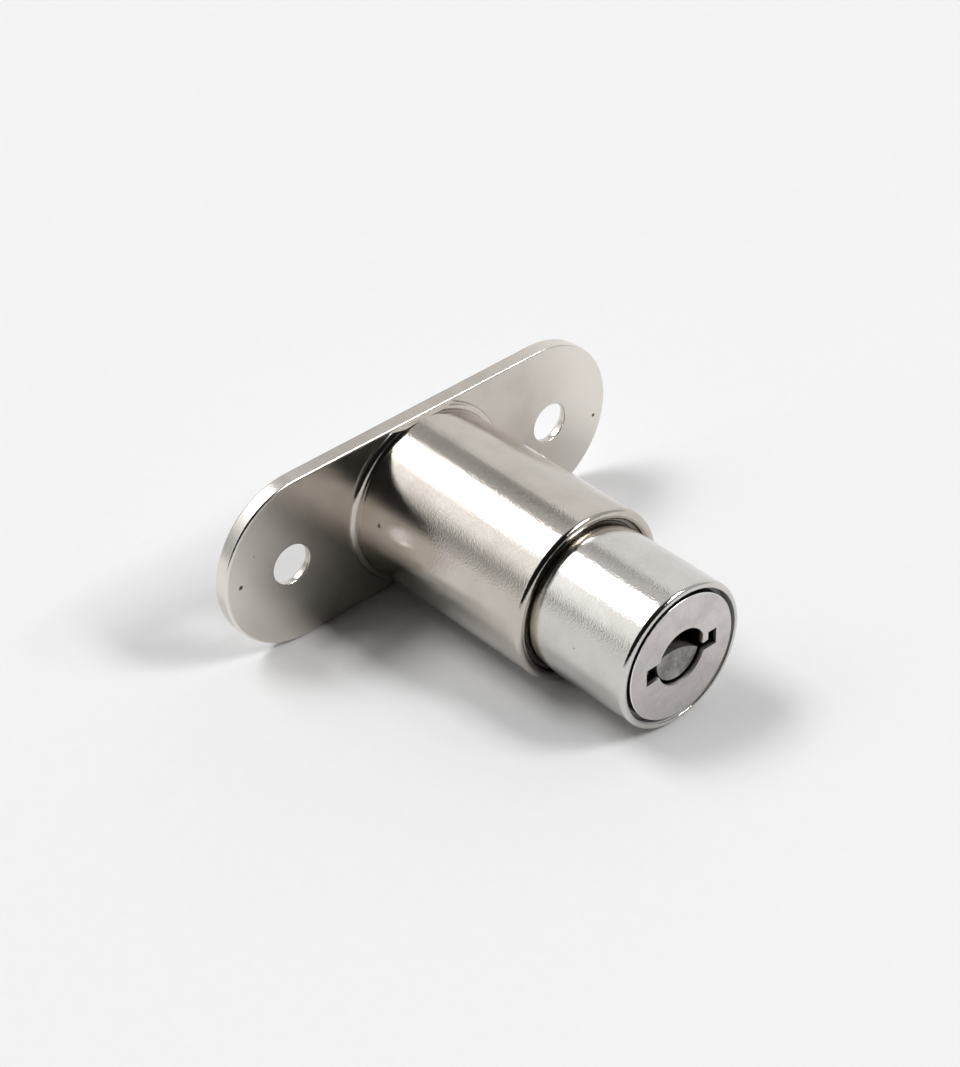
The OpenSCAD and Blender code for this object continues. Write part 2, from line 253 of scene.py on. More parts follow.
    @staticmethod
    def trim(piece: bpy.types.Object, place: Vector, normal: Vector) -> None:
        """Cuts off what lies beyond a plane and closes the cut.

        Args:
            piece: The piece to work on.
            place: A point in the plane.
            normal: Direction towards the side that goes.
        """
        Bench.hold(piece)
        bpy.ops.object.mode_set(mode="EDIT")
        bpy.ops.mesh.select_all(action="SELECT")
        bpy.ops.mesh.bisect(
            plane_co=place,
            plane_no=normal,
            use_fill=True,
            clear_outer=True,
            threshold=Bench.ON_CUT,
        )
        bpy.ops.object.mode_set(mode="OBJECT")

    @staticmethod
    def finish(piece: bpy.types.Object, name: str, angle: float = 34.0) -> bpy.types.Object:
        """Merges stray points, smooths the rounded faces and brings the piece to metres.

        Args:
            piece: The piece, in millimetres.
            name: Its final name.
            angle: Edges sharper than this many degrees stay sharp.

        Returns:
            The same piece.
        """
        Bench.hold(piece)
        bpy.ops.object.mode_set(mode="EDIT")
        bpy.ops.mesh.select_all(action="SELECT")
        bpy.ops.mesh.remove_doubles(threshold=Bench.STRAY)
        bpy.ops.mesh.dissolve_degenerate(threshold=Bench.SEAM)
        bpy.ops.object.mode_set(mode="OBJECT")
        bpy.ops.object.shade_smooth_by_angle(angle=math.radians(angle))
        bpy.ops.object.modifier_add(type="WEIGHTED_NORMAL")
        modifier = piece.modifiers[-1]
        modifier.keep_sharp = True
        modifier.weight = Bench.FACE_WEIGHT
        bpy.ops.object.modifier_apply(modifier=modifier.name)
        piece.name = name
        piece.data.name = name
        piece.data.transform(Matrix.Scale(MM, 4))
        return piece


def arc(centre: Point, radius: float, start: float, end: float, steps: int) -> list[Point]:
    """Points of an arc in the outline of a turned piece.

    Args:
        centre: Centre as (radius, place along the axis).
        radius: Radius of the arc.
        start: First angle in degrees, 0 pointing away from the axis and 90 towards the key.
        end: Last angle in degrees.
        steps: Number of steps between them.

    Returns:
        The points, both ends included.
    """
    angles = [math.radians(start + (end - start) * i / steps) for i in range(steps + 1)]
    return [(centre[0] + radius * math.cos(a), centre[1] + radius * math.sin(a)) for a in angles]


class Graph:
    """Adds and joins the nodes of one material, world or effect."""

    def __init__(self, tree: bpy.types.NodeTree) -> None:
        """Starts with an empty tree."""
        self.tree = tree
        tree.nodes.clear()

    def add(
        self, kind: str, feeds: dict[Any, Any] | None = None, **settings: Any
    ) -> bpy.types.Node:
        """Adds one node.

        Args:
            kind: Blender's name of the node's type.
            feeds: What goes into its inputs, by name or number: a socket, or a plain value.
            settings: Properties of the node.

        Returns:
            The new node.
        """
        node = self.tree.nodes.new(kind)
        for key, value in settings.items():
            setattr(node, key, value)
        for key, value in (feeds or {}).items():
            self.feed(node.inputs[key], value)
        return node

    def feed(self, socket: bpy.types.NodeSocket, value: Any) -> None:
        """Joins a socket to an input, or sets the input's plain value.

        Args:
            socket: The input.
            value: The socket that feeds it, or its value.
        """
        if isinstance(value, bpy.types.NodeSocket):
            self.tree.links.new(value, socket)
        elif isinstance(value, tuple) and len(value) == 3 and socket.type == "RGBA":
            socket.default_value = (*value, 1.0)
        else:
            socket.default_value = value

    def maths(self, operation: str, *values: Any) -> bpy.types.NodeSocket:
        """Works out one operation on numbers and returns its result."""
        node = self.add("ShaderNodeMath", dict(enumerate(values)), operation=operation)
        return node.outputs[0]

    def vector(self, operation: str, *values: Any) -> bpy.types.NodeSocket:
        """Works out one operation on vectors that gives a number, and returns that."""
        node = self.add("ShaderNodeVectorMath", dict(enumerate(values)), operation=operation)
        return node.outputs["Value"]

    def parts(self, vector: Any) -> Any:
        """A vector's parts as sockets by the names X, Y and Z."""
        return self.add("ShaderNodeSeparateXYZ", {0: vector}).outputs

    def radius(self, place: Any) -> bpy.types.NodeSocket:
        """How far a place lies from the lock's axis.

        Args:
            place: The place.

        Returns:
            The socket of the distance.
        """
        parts = self.parts(place)
        flat = self.add("ShaderNodeCombineXYZ", {"X": parts["X"], "Y": parts["Z"]})
        return self.vector("LENGTH", flat.outputs[0])

    def fade(
        self, value: Any, low: float, high: float, start: float = 0.0, end: float = 1.0
    ) -> Any:
        """A smooth change from one number to another while a value runs from low to high.

        Args:
            value: The value that runs.
            low: Where the change begins.
            high: Where it ends.
            start: The number before it.
            end: The number after it.

        Returns:
            The socket of the result.
        """
        feeds = {"Value": value, "From Min": low, "From Max": high, "To Min": start, "To Max": end}
        node = self.add("ShaderNodeMapRange", feeds, interpolation_type="SMOOTHSTEP", clamp=True)
        return node.outputs["Result"]

    def blend(self, mask: Any, first: Any, second: Any) -> bpy.types.NodeSocket:
        """A colour between two, by a mask.

        The node's sockets for colours share their names with others, so they go by number.

        Args:
            mask: 0 for the first colour and 1 for the second.
            first: The first colour.
            second: The second colour.

        Returns:
            The socket of the result.
        """
        node = self.add("ShaderNodeMix", data_type="RGBA", clamp_factor=True)
        for index, value in ((0, mask), (6, first), (7, second)):
            self.feed(node.inputs[index], value)
        return node.outputs[2]

    def noise(self, coords: Any, scale: float, detail: float = 3.0, rough: float = 0.5) -> Any:
        """Soft noise between 0 and 1 with a mean of one half."""
        feeds = {"Vector": coords, "Scale": scale, "Detail": detail, "Roughness": rough}
        return self.add("ShaderNodeTexNoise", feeds).outputs["Fac"]

    def effect(self, name: str, feeds: dict[str, Any]) -> Any:
        """Places a shared effect with its own values and returns its outputs."""
        return self.add("ShaderNodeGroup", feeds, node_tree=bpy.data.node_groups[name]).outputs


class Effects:
    """The effects that several finishes share, each a node group that is built once."""

    CLOUDS = "cloudy tone"
    GRAIN = "cast grain"
    LATHE = "turning lines"
    WEAR = "edge wear"
    SPOT = "round pit"
    SPECKS = "sparse specks"
    PAINTED_BAND = "painted band in hole"
    RIM_HIGHLIGHT = "painted rim highlight"
    LIT_ENDS = "painted light on ends"
    ORIGIN = (0.0, 0.0, 0.0)

    def build(self) -> None:
        """Builds all the groups."""
        self.clouds()
        self.grain()
        self.lathe()
        self.wear()
        self.spot()
        self.specks()
        self.bore()
        self.rim()
        self.lit_ends()

    @staticmethod
    def start(name: str, takes: dict[str, Any], gives: dict[str, str]) -> tuple[Graph, Any, Any]:
        """Makes an empty group with its sockets.

        Args:
            name: Name of the group.
            takes: Its inputs: a number, a vector of three or a colour of four numbers.
            gives: Its outputs and their socket types.

        Returns:
            Its graph, the sockets that bring its inputs and the sockets that take its outputs.
        """
        tree = bpy.data.node_groups.new(name, "ShaderNodeTree")
        graph = Graph(tree)
        for key, value in takes.items():
            kind = "NodeSocketFloat"
            if isinstance(value, tuple):
                kind = "NodeSocketColor" if len(value) == 4 else "NodeSocketVector"
            socket = tree.interface.new_socket(name=key, in_out="INPUT", socket_type=kind)
            socket.default_value = value
        for key, kind in gives.items():
            tree.interface.new_socket(name=key, in_out="OUTPUT", socket_type=kind)
        return graph, graph.add("NodeGroupInput").outputs, graph.add("NodeGroupOutput").inputs

    def clouds(self) -> None:
        """Broad soft changes between two tones."""
        graph, given, out = self.start(
            self.CLOUDS,
            {
                "Vector": self.ORIGIN,
                "Scale": 100.0,
                "First": (0.8, 0.8, 0.8, 1.0),
                "Second": (0.6, 0.6, 0.6, 1.0),
            },
            {"Color": "NodeSocketColor", "Mask": "NodeSocketFloat"},
        )
        broad = graph.noise(given["Vector"], given["Scale"], detail=4.0, rough=0.55)
        mask = graph.fade(broad, low=0.36, high=0.66)
        graph.feed(out["Mask"], mask)
        graph.feed(out["Color"], graph.blend(mask, given["First"], given["Second"]))

    def grain(self) -> None:
        """Fine uneven skin of a plated casting, of two sizes."""
        finer, fine_share = 3.7, 0.1
        graph, given, out = self.start(
            self.GRAIN,
            {"Vector": self.ORIGIN, "Scale": 3000.0},
            {"Height": "NodeSocketFloat", "Mask": "NodeSocketFloat"},
        )
        fine_scale = graph.maths("MULTIPLY", given["Scale"], finer)
        coarse = graph.noise(given["Vector"], given["Scale"], detail=2.0, rough=0.6)
        fine = graph.noise(given["Vector"], fine_scale, detail=2.0, rough=0.6)
        graph.feed(out["Height"], graph.maths("MULTIPLY_ADD", fine, fine_share, coarse))
        graph.feed(out["Mask"], graph.fade(fine, low=0.35, high=0.65))

    def lathe(self) -> None:
        """Fine rings that a lathe leaves round the lock's axis, on faces and on walls."""
        stray_scale = 300.0
        graph, given, out = self.start(
            self.LATHE,
            {"Vector": self.ORIGIN, "Pitch": 0.0001, "Waver": 0.3},
            {"Height": "NodeSocketFloat", "Mask": "NodeSocketFloat"},
        )
        place = graph.maths("ADD", graph.radius(given["Vector"]), graph.parts(given["Vector"])["Y"])
        stray = graph.maths("MULTIPLY", graph.noise(given["Vector"], stray_scale), given["Waver"])
        turns = graph.maths("ADD", graph.maths("DIVIDE", place, given["Pitch"]), stray)
        feeds = {"W": turns, "Scale": 1.0, "Detail": 2.0}
        line = graph.add("ShaderNodeTexNoise", feeds, noise_dimensions="1D").outputs["Fac"]
        graph.feed(out["Height"], line)
        graph.feed(out["Mask"], graph.fade(line, low=0.4, high=0.62))

    def wear(self) -> None:
        """Rubbed outer edges, broken up by noise."""
        graph, given, out = self.start(
            self.WEAR,
            {"Vector": self.ORIGIN, "Scale": 1500.0, "Amount": 0.5},
            {"Mask": "NodeSocketFloat"},
        )
        pointed = graph.add("ShaderNodeNewGeometry").outputs["Pointiness"]
        edge = graph.fade(pointed, low=0.505, high=0.56)
        patches = graph.noise(given["Vector"], given["Scale"], detail=4.0, rough=0.7)
        mask = graph.maths("MULTIPLY", edge, graph.fade(patches, low=0.42, high=0.62))
        graph.feed(out["Mask"], graph.maths("MULTIPLY", mask, given["Amount"]))

    def spot(self) -> None:
        """One round pit at a place on the piece, with a ragged edge."""
        ragged_scale, raggedness = 6000.0, 0.8
        graph, given, out = self.start(
            self.SPOT,
            {"Vector": self.ORIGIN, "Centre": self.ORIGIN, "Radius": 0.0003},
            {"Mask": "NodeSocketFloat"},
        )
        away = graph.vector("DISTANCE", given["Vector"], given["Centre"])
        share = graph.maths("DIVIDE", away, given["Radius"])
        noise = graph.noise(given["Vector"], ragged_scale)
        edge = graph.maths("MULTIPLY_ADD", noise, raggedness, share)
        graph.feed(out["Mask"], graph.fade(edge, low=0.85, high=1.5, start=1.0, end=0.0))

    def specks(self) -> None:
        """Sparse small specks, of which only a share of the cells holds one."""
        graph, given, out = self.start(
            self.SPECKS,
            {"Vector": self.ORIGIN, "Scale": 700.0, "Share": 0.1, "Size": 0.2},
            {"Mask": "NodeSocketFloat"},
        )
        feeds = {"Vector": given["Vector"], "Scale": given["Scale"]}
        cells = graph.add("ShaderNodeTexVoronoi", feeds).outputs
        pick = graph.add("ShaderNodeSeparateColor", {0: cells["Color"]}).outputs[0]
        chosen = graph.maths("LESS_THAN", pick, given["Share"])
        near = graph.maths("LESS_THAN", cells["Distance"], given["Size"])
        graph.feed(out["Mask"], graph.maths("MULTIPLY", chosen, near))

    def bore(self) -> None:
        """The mask of painted shade, or of a painted pale band, inside a hole: between two radii
        about the axis and behind a place along it.
        """
        graph, given, out = self.start(
            self.PAINTED_BAND,
            {
                "Vector": self.ORIGIN,
                "Radius": 0.008,
                "Inner": 0.0,
                "Mouth": 0.0237,
                "Depth": 0.0004,
            },
            {"Mask": "NodeSocketFloat"},
        )
        radius = graph.radius(given["Vector"])
        within = graph.maths("LESS_THAN", radius, given["Radius"])
        beyond = graph.maths("GREATER_THAN", radius, given["Inner"])
        below = graph.maths("ADD", given["Mouth"], graph.parts(given["Vector"])["Y"])
        deep = graph.fade(graph.maths("DIVIDE", below, given["Depth"]), low=0.0, high=1.0)
        mask = graph.maths("MULTIPLY", graph.maths("MULTIPLY", within, beyond), deep)
        graph.feed(out["Mask"], mask)

    def rim(self) -> None:
        """The mask of the slanted strips between the front face and the walls, for a painted
        highlight on the rims.
        """
        graph, given, out = self.start(self.RIM_HIGHLIGHT, {"Amount": 0.5}, {"Mask": "NodeSocketFloat"})
        normal = graph.add("ShaderNodeNewGeometry").outputs["True Normal"]
        lean = graph.maths("ABSOLUTE", graph.parts(normal)["Y"])
        off_wall = graph.fade(lean, low=0.15, high=0.3)
        off_face = graph.fade(lean, low=0.94, high=0.98, start=1.0, end=0.0)
        slanted = graph.maths("MULTIPLY", off_wall, off_face)
        graph.feed(out["Mask"], graph.maths("MULTIPLY", slanted, given["Amount"]))

    def lit_ends(self) -> None:
        """Painted light that makes the flange lighter towards its ends than at the barrel's foot.
        """
        graph, given, out = self.start(
            self.LIT_ENDS,
            {"Vector": self.ORIGIN, "Near": 0.014, "Far": 0.024, "Face": -0.00025},
            {"Mask": "NodeSocketFloat"},
        )
        past = graph.maths("SUBTRACT", graph.radius(given["Vector"]), given["Near"])
        span = graph.maths("SUBTRACT", given["Far"], given["Near"])
        share = graph.fade(graph.maths("DIVIDE", past, span), low=0.0, high=1.0)
        flange = graph.maths("GREATER_THAN", graph.parts(given["Vector"])["Y"], given["Face"])
        graph.feed(out["Mask"], graph.maths("MULTIPLY", share, flange))


@dataclass(frozen=True)
class Pit:
    """A small dark pit in the plating, in millimetres."""

    x: float
    y: float
    z: float
    radius: float


@dataclass(frozen=True)
class PaintedBand:
    """A band of painted shade, or a painted pale reflection, in a hole or gap, in millimetres.

    It lies between two radii, begins at its mouth's place along the axis and reaches its full
    tone at its depth. With an inner radius below zero it reaches to the axis.
    """

    radius: float
    mouth: float
    depth: float
    inner: float = -1.0


@dataclass(frozen=True)
class Finish:
    """What all finishes share: the names, the two tones and the way to the shader."""

    name: str
    slot: str
    tone: Colour
    second: Colour

    def material(self) -> bpy.types.Material:
        """Builds the finish as a Blender material.

        Returns:
            The material.
        """
        made = bpy.data.materials.new(self.name)
        made.use_nodes = True
        graph = Graph(made.node_tree)
        self.surface(graph, graph.add("ShaderNodeTexCoord").outputs["Object"])
        return made

    def surface(self, graph: Graph, coords: Any) -> None:
        """Works out the finish's looks, as each kind of finish does in its own way."""
        raise NotImplementedError(self.name)

    def cloudy(self, graph: Graph, coords: Any, scale: float) -> Any:
        """The two tones in soft clouds, and the clouds' mask."""
        feeds = {"Vector": coords, "Scale": scale, "First": self.tone, "Second": self.second}
        return graph.effect(Effects.CLOUDS, feeds)

    def worn(self, graph: Graph, coords: Any, scale: float, amount: float) -> Any:
        """The mask of the rubbed edges."""
        feeds = {"Vector": coords, "Scale": scale, "Amount": amount}
        return graph.effect(Effects.WEAR, feeds)["Mask"]

    def brighter(self, times: float) -> Colour:
        """The first tone made brighter, as on a rubbed edge."""
        return tuple(min(1.0, v * times) for v in self.tone)

    @staticmethod
    def shade(
        graph: Graph,
        colour: Any,
        rough: Any,
        height: Any,
        strength: float,
        depth: float = 0.02,
        metal: Any = 1.0,
    ) -> None:
        """Gives the looks to the shader.

        Args:
            graph: The graph of the material.
            colour: Base colour.
            rough: Roughness.
            height: Height for the bump.
            strength: Strength of the bump.
            depth: Depth of the bump in millimetres.
            metal: 1 for bare metal, 0 for a dull coat.
        """
        feeds = {"Strength": strength, "Distance": depth * MM, "Height": height}
        bump = graph.add("ShaderNodeBump", feeds).outputs[0]
        feeds = {"Base Color": colour, "Metallic": metal, "Roughness": rough, "Normal": bump}
        shader = graph.add("ShaderNodeBsdfPrincipled", feeds)
        graph.add("ShaderNodeOutputMaterial", {"Surface": shader.outputs[0]})


@dataclass(frozen=True)
class Plating(Finish):
    """Plate over a machined or cast piece, with sparse specks and with painted shade or a painted
    pale band inside its holes.
    """

    painted_bands: tuple[PaintedBand, ...] = ()
    # Tone of the painted shade inside holes.
    painted_band_tone: Colour = (0.035, 0.033, 0.031)
    speck_scale: float = 900.0
    speck_share: float = 0.05
    speck_size: float = 0.09
    speck_depth: float = 0.5

    def specked(self, graph: Graph, coords: Any) -> Any:
        """The mask of the specks.

        Args:
            graph: The graph of the material.
            coords: The Object coordinates.

        Returns:
            The socket of the mask.
        """
        feeds = {
            "Vector": coords,
            "Scale": self.speck_scale,
            "Share": self.speck_share,
            "Size": self.speck_size,
        }
        specks = graph.effect(Effects.SPECKS, feeds)["Mask"]
        return graph.maths("MULTIPLY", specks, self.speck_depth)

    def painted_band_mask(self, graph: Graph, coords: Any) -> Any:
        """The mask of all the painted bands.

        Args:
            graph: The graph of the material.
            coords: The Object coordinates.

        Returns:
            The socket of the mask.
        """
        inside: Any = 0.0
        for bore in self.painted_bands:
            feeds = {
                "Vector": coords,
                "Radius": bore.radius * MM,
                "Inner": bore.inner * MM,
                "Mouth": bore.mouth * MM,
                "Depth": bore.depth * MM,
            }
            inside = graph.maths("MAXIMUM", inside, graph.effect(Effects.PAINTED_BAND, feeds)["Mask"])
        return inside


@dataclass(frozen=True)
class NickelFinish(Plating):
    """Bright nickel plate over a casting, with grain, clouds, pits and rubbed edges.

    Where ends is given, painted light makes the flange lighter towards its ends, up to that
    tone, and what lies behind the place face is duller than the barrel.
    """

    rough: float = 0.06
    rough_span: float = 0.04
    cloud_scale: float = 240.0
    grain: float = 0.65
    grain_scale: float = 5000.0
    wear: float = 0.12
    wear_scale: float = 1700.0
    rubbed: Colour = (0.93, 0.91, 0.87)
    pits: tuple[Pit, ...] = ()
    pit_tone: Colour = (0.10, 0.09, 0.08)
    pit_rough: float = 0.3
    # Metal and added roughness of the painted bands.
    painted_band_metal: float = 1.0
    painted_band_rough: float = 0.35
    # Painted light: the flange's lighter tone towards its ends.
    ends: Colour | None = None
    lit_ends_near: float = 14.0
    lit_ends_far: float = 24.0
    face: float = 0.25
    face_span: float = 0.2
    dull: float = 0.15

    def surface(self, graph: Graph, coords: Any) -> None:
        """Works out the plate's looks and gives them to the shader.

        Args:
            graph: The graph of the material.
            coords: The Object coordinates.
        """
        clouds = self.cloudy(graph, coords, self.cloud_scale)
        grain = graph.effect(Effects.GRAIN, {"Vector": coords, "Scale": self.grain_scale})
        dark, inside = self.marked(graph, coords), self.painted_band_mask(graph, coords)
        low = self.rough
        rough = graph.fade(clouds["Mask"], 0.0, 1.0, start=low, end=low + self.rough_span)
        rough = graph.maths("MULTIPLY_ADD", grain["Mask"], self.rough_span / 2, rough)
        rough = graph.maths("MULTIPLY_ADD", dark, self.pit_rough, rough)
        rough = graph.maths("MULTIPLY_ADD", inside, self.painted_band_rough, rough)
        colour = clouds["Color"]
        # Painted light: the flange is made lighter towards its ends than at the barrel's foot.
        if self.ends is not None:
            colour = graph.blend(self.lit_ends_mask(graph, coords), colour, self.ends)
            along, start = graph.parts(coords)["Y"], -self.face * MM
            dull = graph.fade(along, start, start + self.face_span * MM, start=0.0, end=self.dull)
            rough = graph.maths("ADD", rough, dull)
        worn = self.worn(graph, coords, self.wear_scale, self.wear)
        colour = graph.blend(worn, colour, self.rubbed)
        colour = graph.blend(dark, colour, self.pit_tone)
        # Painted shade inside a hole, or the plunger's painted pale band in place of a reflection.
        colour = graph.blend(inside, colour, self.painted_band_tone)
        metal: Any = 1.0
        if self.painted_band_metal < metal:
            metal = graph.maths("MULTIPLY_ADD", inside, self.painted_band_metal - metal, metal)
        height = graph.maths("SUBTRACT", grain["Height"], dark)
        self.shade(graph, colour, rough, height, self.grain, metal=metal)

    def lit_ends_mask(self, graph: Graph, coords: Any) -> Any:
        """The mask of the painted light towards the flange's ends.

        Args:
            graph: The graph of the material.
            coords: The Object coordinates.

        Returns:
            The socket of the mask.
        """
        feeds = {
            "Vector": coords,
            "Near": self.lit_ends_near * MM,
            "Far": self.lit_ends_far * MM,
            "Face": -self.face * MM,
        }
        return graph.effect(Effects.LIT_ENDS, feeds)["Mask"]

    def marked(self, graph: Graph, coords: Any) -> Any:
        """The mask of the specks and the pits.

        Args:
            graph: The graph of the material.
            coords: The Object coordinates.

        Returns:
            The socket of the mask.
        """
        dark = self.specked(graph, coords)
        for pit in self.pits:
            centre = tuple(v * MM for v in (pit.x, pit.y, pit.z))
            feeds = {"Vector": coords, "Centre": centre, "Radius": pit.radius * MM}
            dark = graph.maths("MAXIMUM", dark, graph.effect(Effects.SPOT, feeds)["Mask"])
        return dark


@dataclass(frozen=True)
class SatinFinish(Plating):
    """Matt plating with a fine sandy skin and a painted highlight on its rims, as on the plug's
    face.
    """

    # Tone of the painted shade in the keyway and the gap round the head.
    painted_band_tone: Colour = (0.02, 0.019, 0.018)
    speck_scale: float = 1500.0
    speck_size: float = 0.12
    speck_depth: float = 0.35
    rough: float = 0.42
    rough_span: float = 0.1
    cloud_scale: float = 520.0
    grain: float = 0.09
    grain_scale: float = 9000.0
    pitch: float = 0.09
    waver: float = 0.6
    line_share: float = 0.4
    wear: float = 0.15
    wear_scale: float = 2200.0
    rubbed: Colour = (0.95, 0.93, 0.91)
    # Painted highlight: the rims are made lighter.
    rim: float = 0.85
    rim_highlight_tone: Colour = (0.98, 0.97, 0.96)
    rim_rough: float = -0.25
    speck_tone: Colour = (0.2, 0.18, 0.17)

    def surface(self, graph: Graph, coords: Any) -> None:
        """Works out the plate's looks and gives them to the shader.

        Args:
            graph: The graph of the material.
            coords: The Object coordinates.
        """
        clouds = self.cloudy(graph, coords, self.cloud_scale)
        grain = graph.effect(Effects.GRAIN, {"Vector": coords, "Scale": self.grain_scale})
        feeds = {"Vector": coords, "Pitch": self.pitch * MM, "Waver": self.waver}
        lines = graph.effect(Effects.LATHE, feeds)
        rim = graph.effect(Effects.RIM_HIGHLIGHT, {"Amount": self.rim})["Mask"]
        worn = self.worn(graph, coords, self.wear_scale, self.wear)
        colour = graph.blend(worn, clouds["Color"], self.rubbed)
        colour = graph.blend(self.specked(graph, coords), colour, self.speck_tone)
        # Painted highlight on the rims.
        colour = graph.blend(rim, colour, self.rim_highlight_tone)
        # Painted shade in the keyway and the gap round the head.
        colour = graph.blend(self.painted_band_mask(graph, coords), colour, self.painted_band_tone)
        low = self.rough
        rough = graph.fade(clouds["Mask"], 0.0, 1.0, start=low, end=low + self.rough_span)
        rough = graph.maths("MULTIPLY_ADD", rim, self.rim_rough, rough)
        height = graph.maths("MULTIPLY_ADD", lines["Height"], self.line_share, grain["Height"])
        self.shade(graph, colour, rough, height, self.grain)


@dataclass(frozen=True)
class TurnedFinish(Finish):
    """Turned or drawn metal with fine lines round the lock's axis."""

    rough: float = 0.24
    rough_span: float = 0.1
    lines: float = 0.4
    pitch: float = 0.12
    waver: float = 0.4
    cloud_scale: float = 420.0
    grain_scale: float = 4200.0
    grain_share: float = 0.4
    wear: float = 0.6
    wear_scale: float = 1900.0
    rubbed: float = 1.3

    def surface(self, graph: Graph, coords: Any) -> None:
        """Works out the turned metal's looks and gives them to the shader.

        Args:
            graph: The graph of the material.
            coords: The Object coordinates.
        """
        clouds = self.cloudy(graph, coords, self.cloud_scale)
        feeds = {"Vector": coords, "Pitch": self.pitch * MM, "Waver": self.waver}
        lines = graph.effect(Effects.LATHE, feeds)
        grain = graph.effect(Effects.GRAIN, {"Vector": coords, "Scale": self.grain_scale})
        worn = self.worn(graph, coords, self.wear_scale, self.wear)
        colour = graph.blend(worn, clouds["Color"], self.brighter(self.rubbed))
        low = self.rough
        rough = graph.fade(lines["Mask"], 0.0, 1.0, start=low, end=low + self.rough_span)
        height = graph.maths("MULTIPLY_ADD", grain["Height"], self.grain_share, lines["Height"])
        self.shade(graph, colour, rough, height, self.lines)


@dataclass(frozen=True)
class CastFinish(Finish):
    """Rough cast metal, dull in its hollows and rubbed on its crowns."""

    rough: float = 0.45
    rough_span: float = 0.15
    grain: float = 0.8
    grain_depth: float = 0.04
    scale: float = 1800.0
    wear: float = 0.4
    wear_scale: float = 2400.0
    rubbed: float = 1.5

    def surface(self, graph: Graph, coords: Any) -> None:
        """Works out the cast metal's looks and gives them to the shader.

        Args:
            graph: The graph of the material.
            coords: The Object coordinates.
        """
        clouds = self.cloudy(graph, coords, self.scale / 3)
        grain = graph.effect(Effects.GRAIN, {"Vector": coords, "Scale": self.scale})
        worn = self.worn(graph, coords, self.wear_scale, self.wear)
        colour = graph.blend(worn, clouds["Color"], self.brighter(self.rubbed))
        low = self.rough
        rough = graph.fade(grain["Mask"], 0.0, 1.0, start=low, end=low + self.rough_span)
        self.shade(graph, colour, rough, grain["Height"], self.grain, self.grain_depth)


def dress(piece: bpy.types.Object, finish: Finish) -> None:
    """Gives a piece one finish all over.

    Args:
        piece: A new piece or a CAD node.
        finish: The finish it gets; a finish is built once and shared.
    """
    made = bpy.data.materials.get(finish.name) or finish.material()
    if not piece.material_slots:
        piece.data.materials.append(made)
    for slot in piece.material_slots:
        slot.material = made


def mount(piece: bpy.types.Object, body: Body, finish: Finish, *nodes: str) -> None:
    """Dresses a new piece, lets it ride on its body and stand for its CAD nodes.

    Args:
        piece: The new piece.
        body: The body that carries it.
        finish: Its finish.
        nodes: The CAD nodes that it stands for.
    """
    dress(piece, finish)
    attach(piece, body.value)
    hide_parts(*nodes)
    LOG.info("%s: %d faces, stands for %s", piece.name, len(piece.data.polygons), ", ".join(nodes))


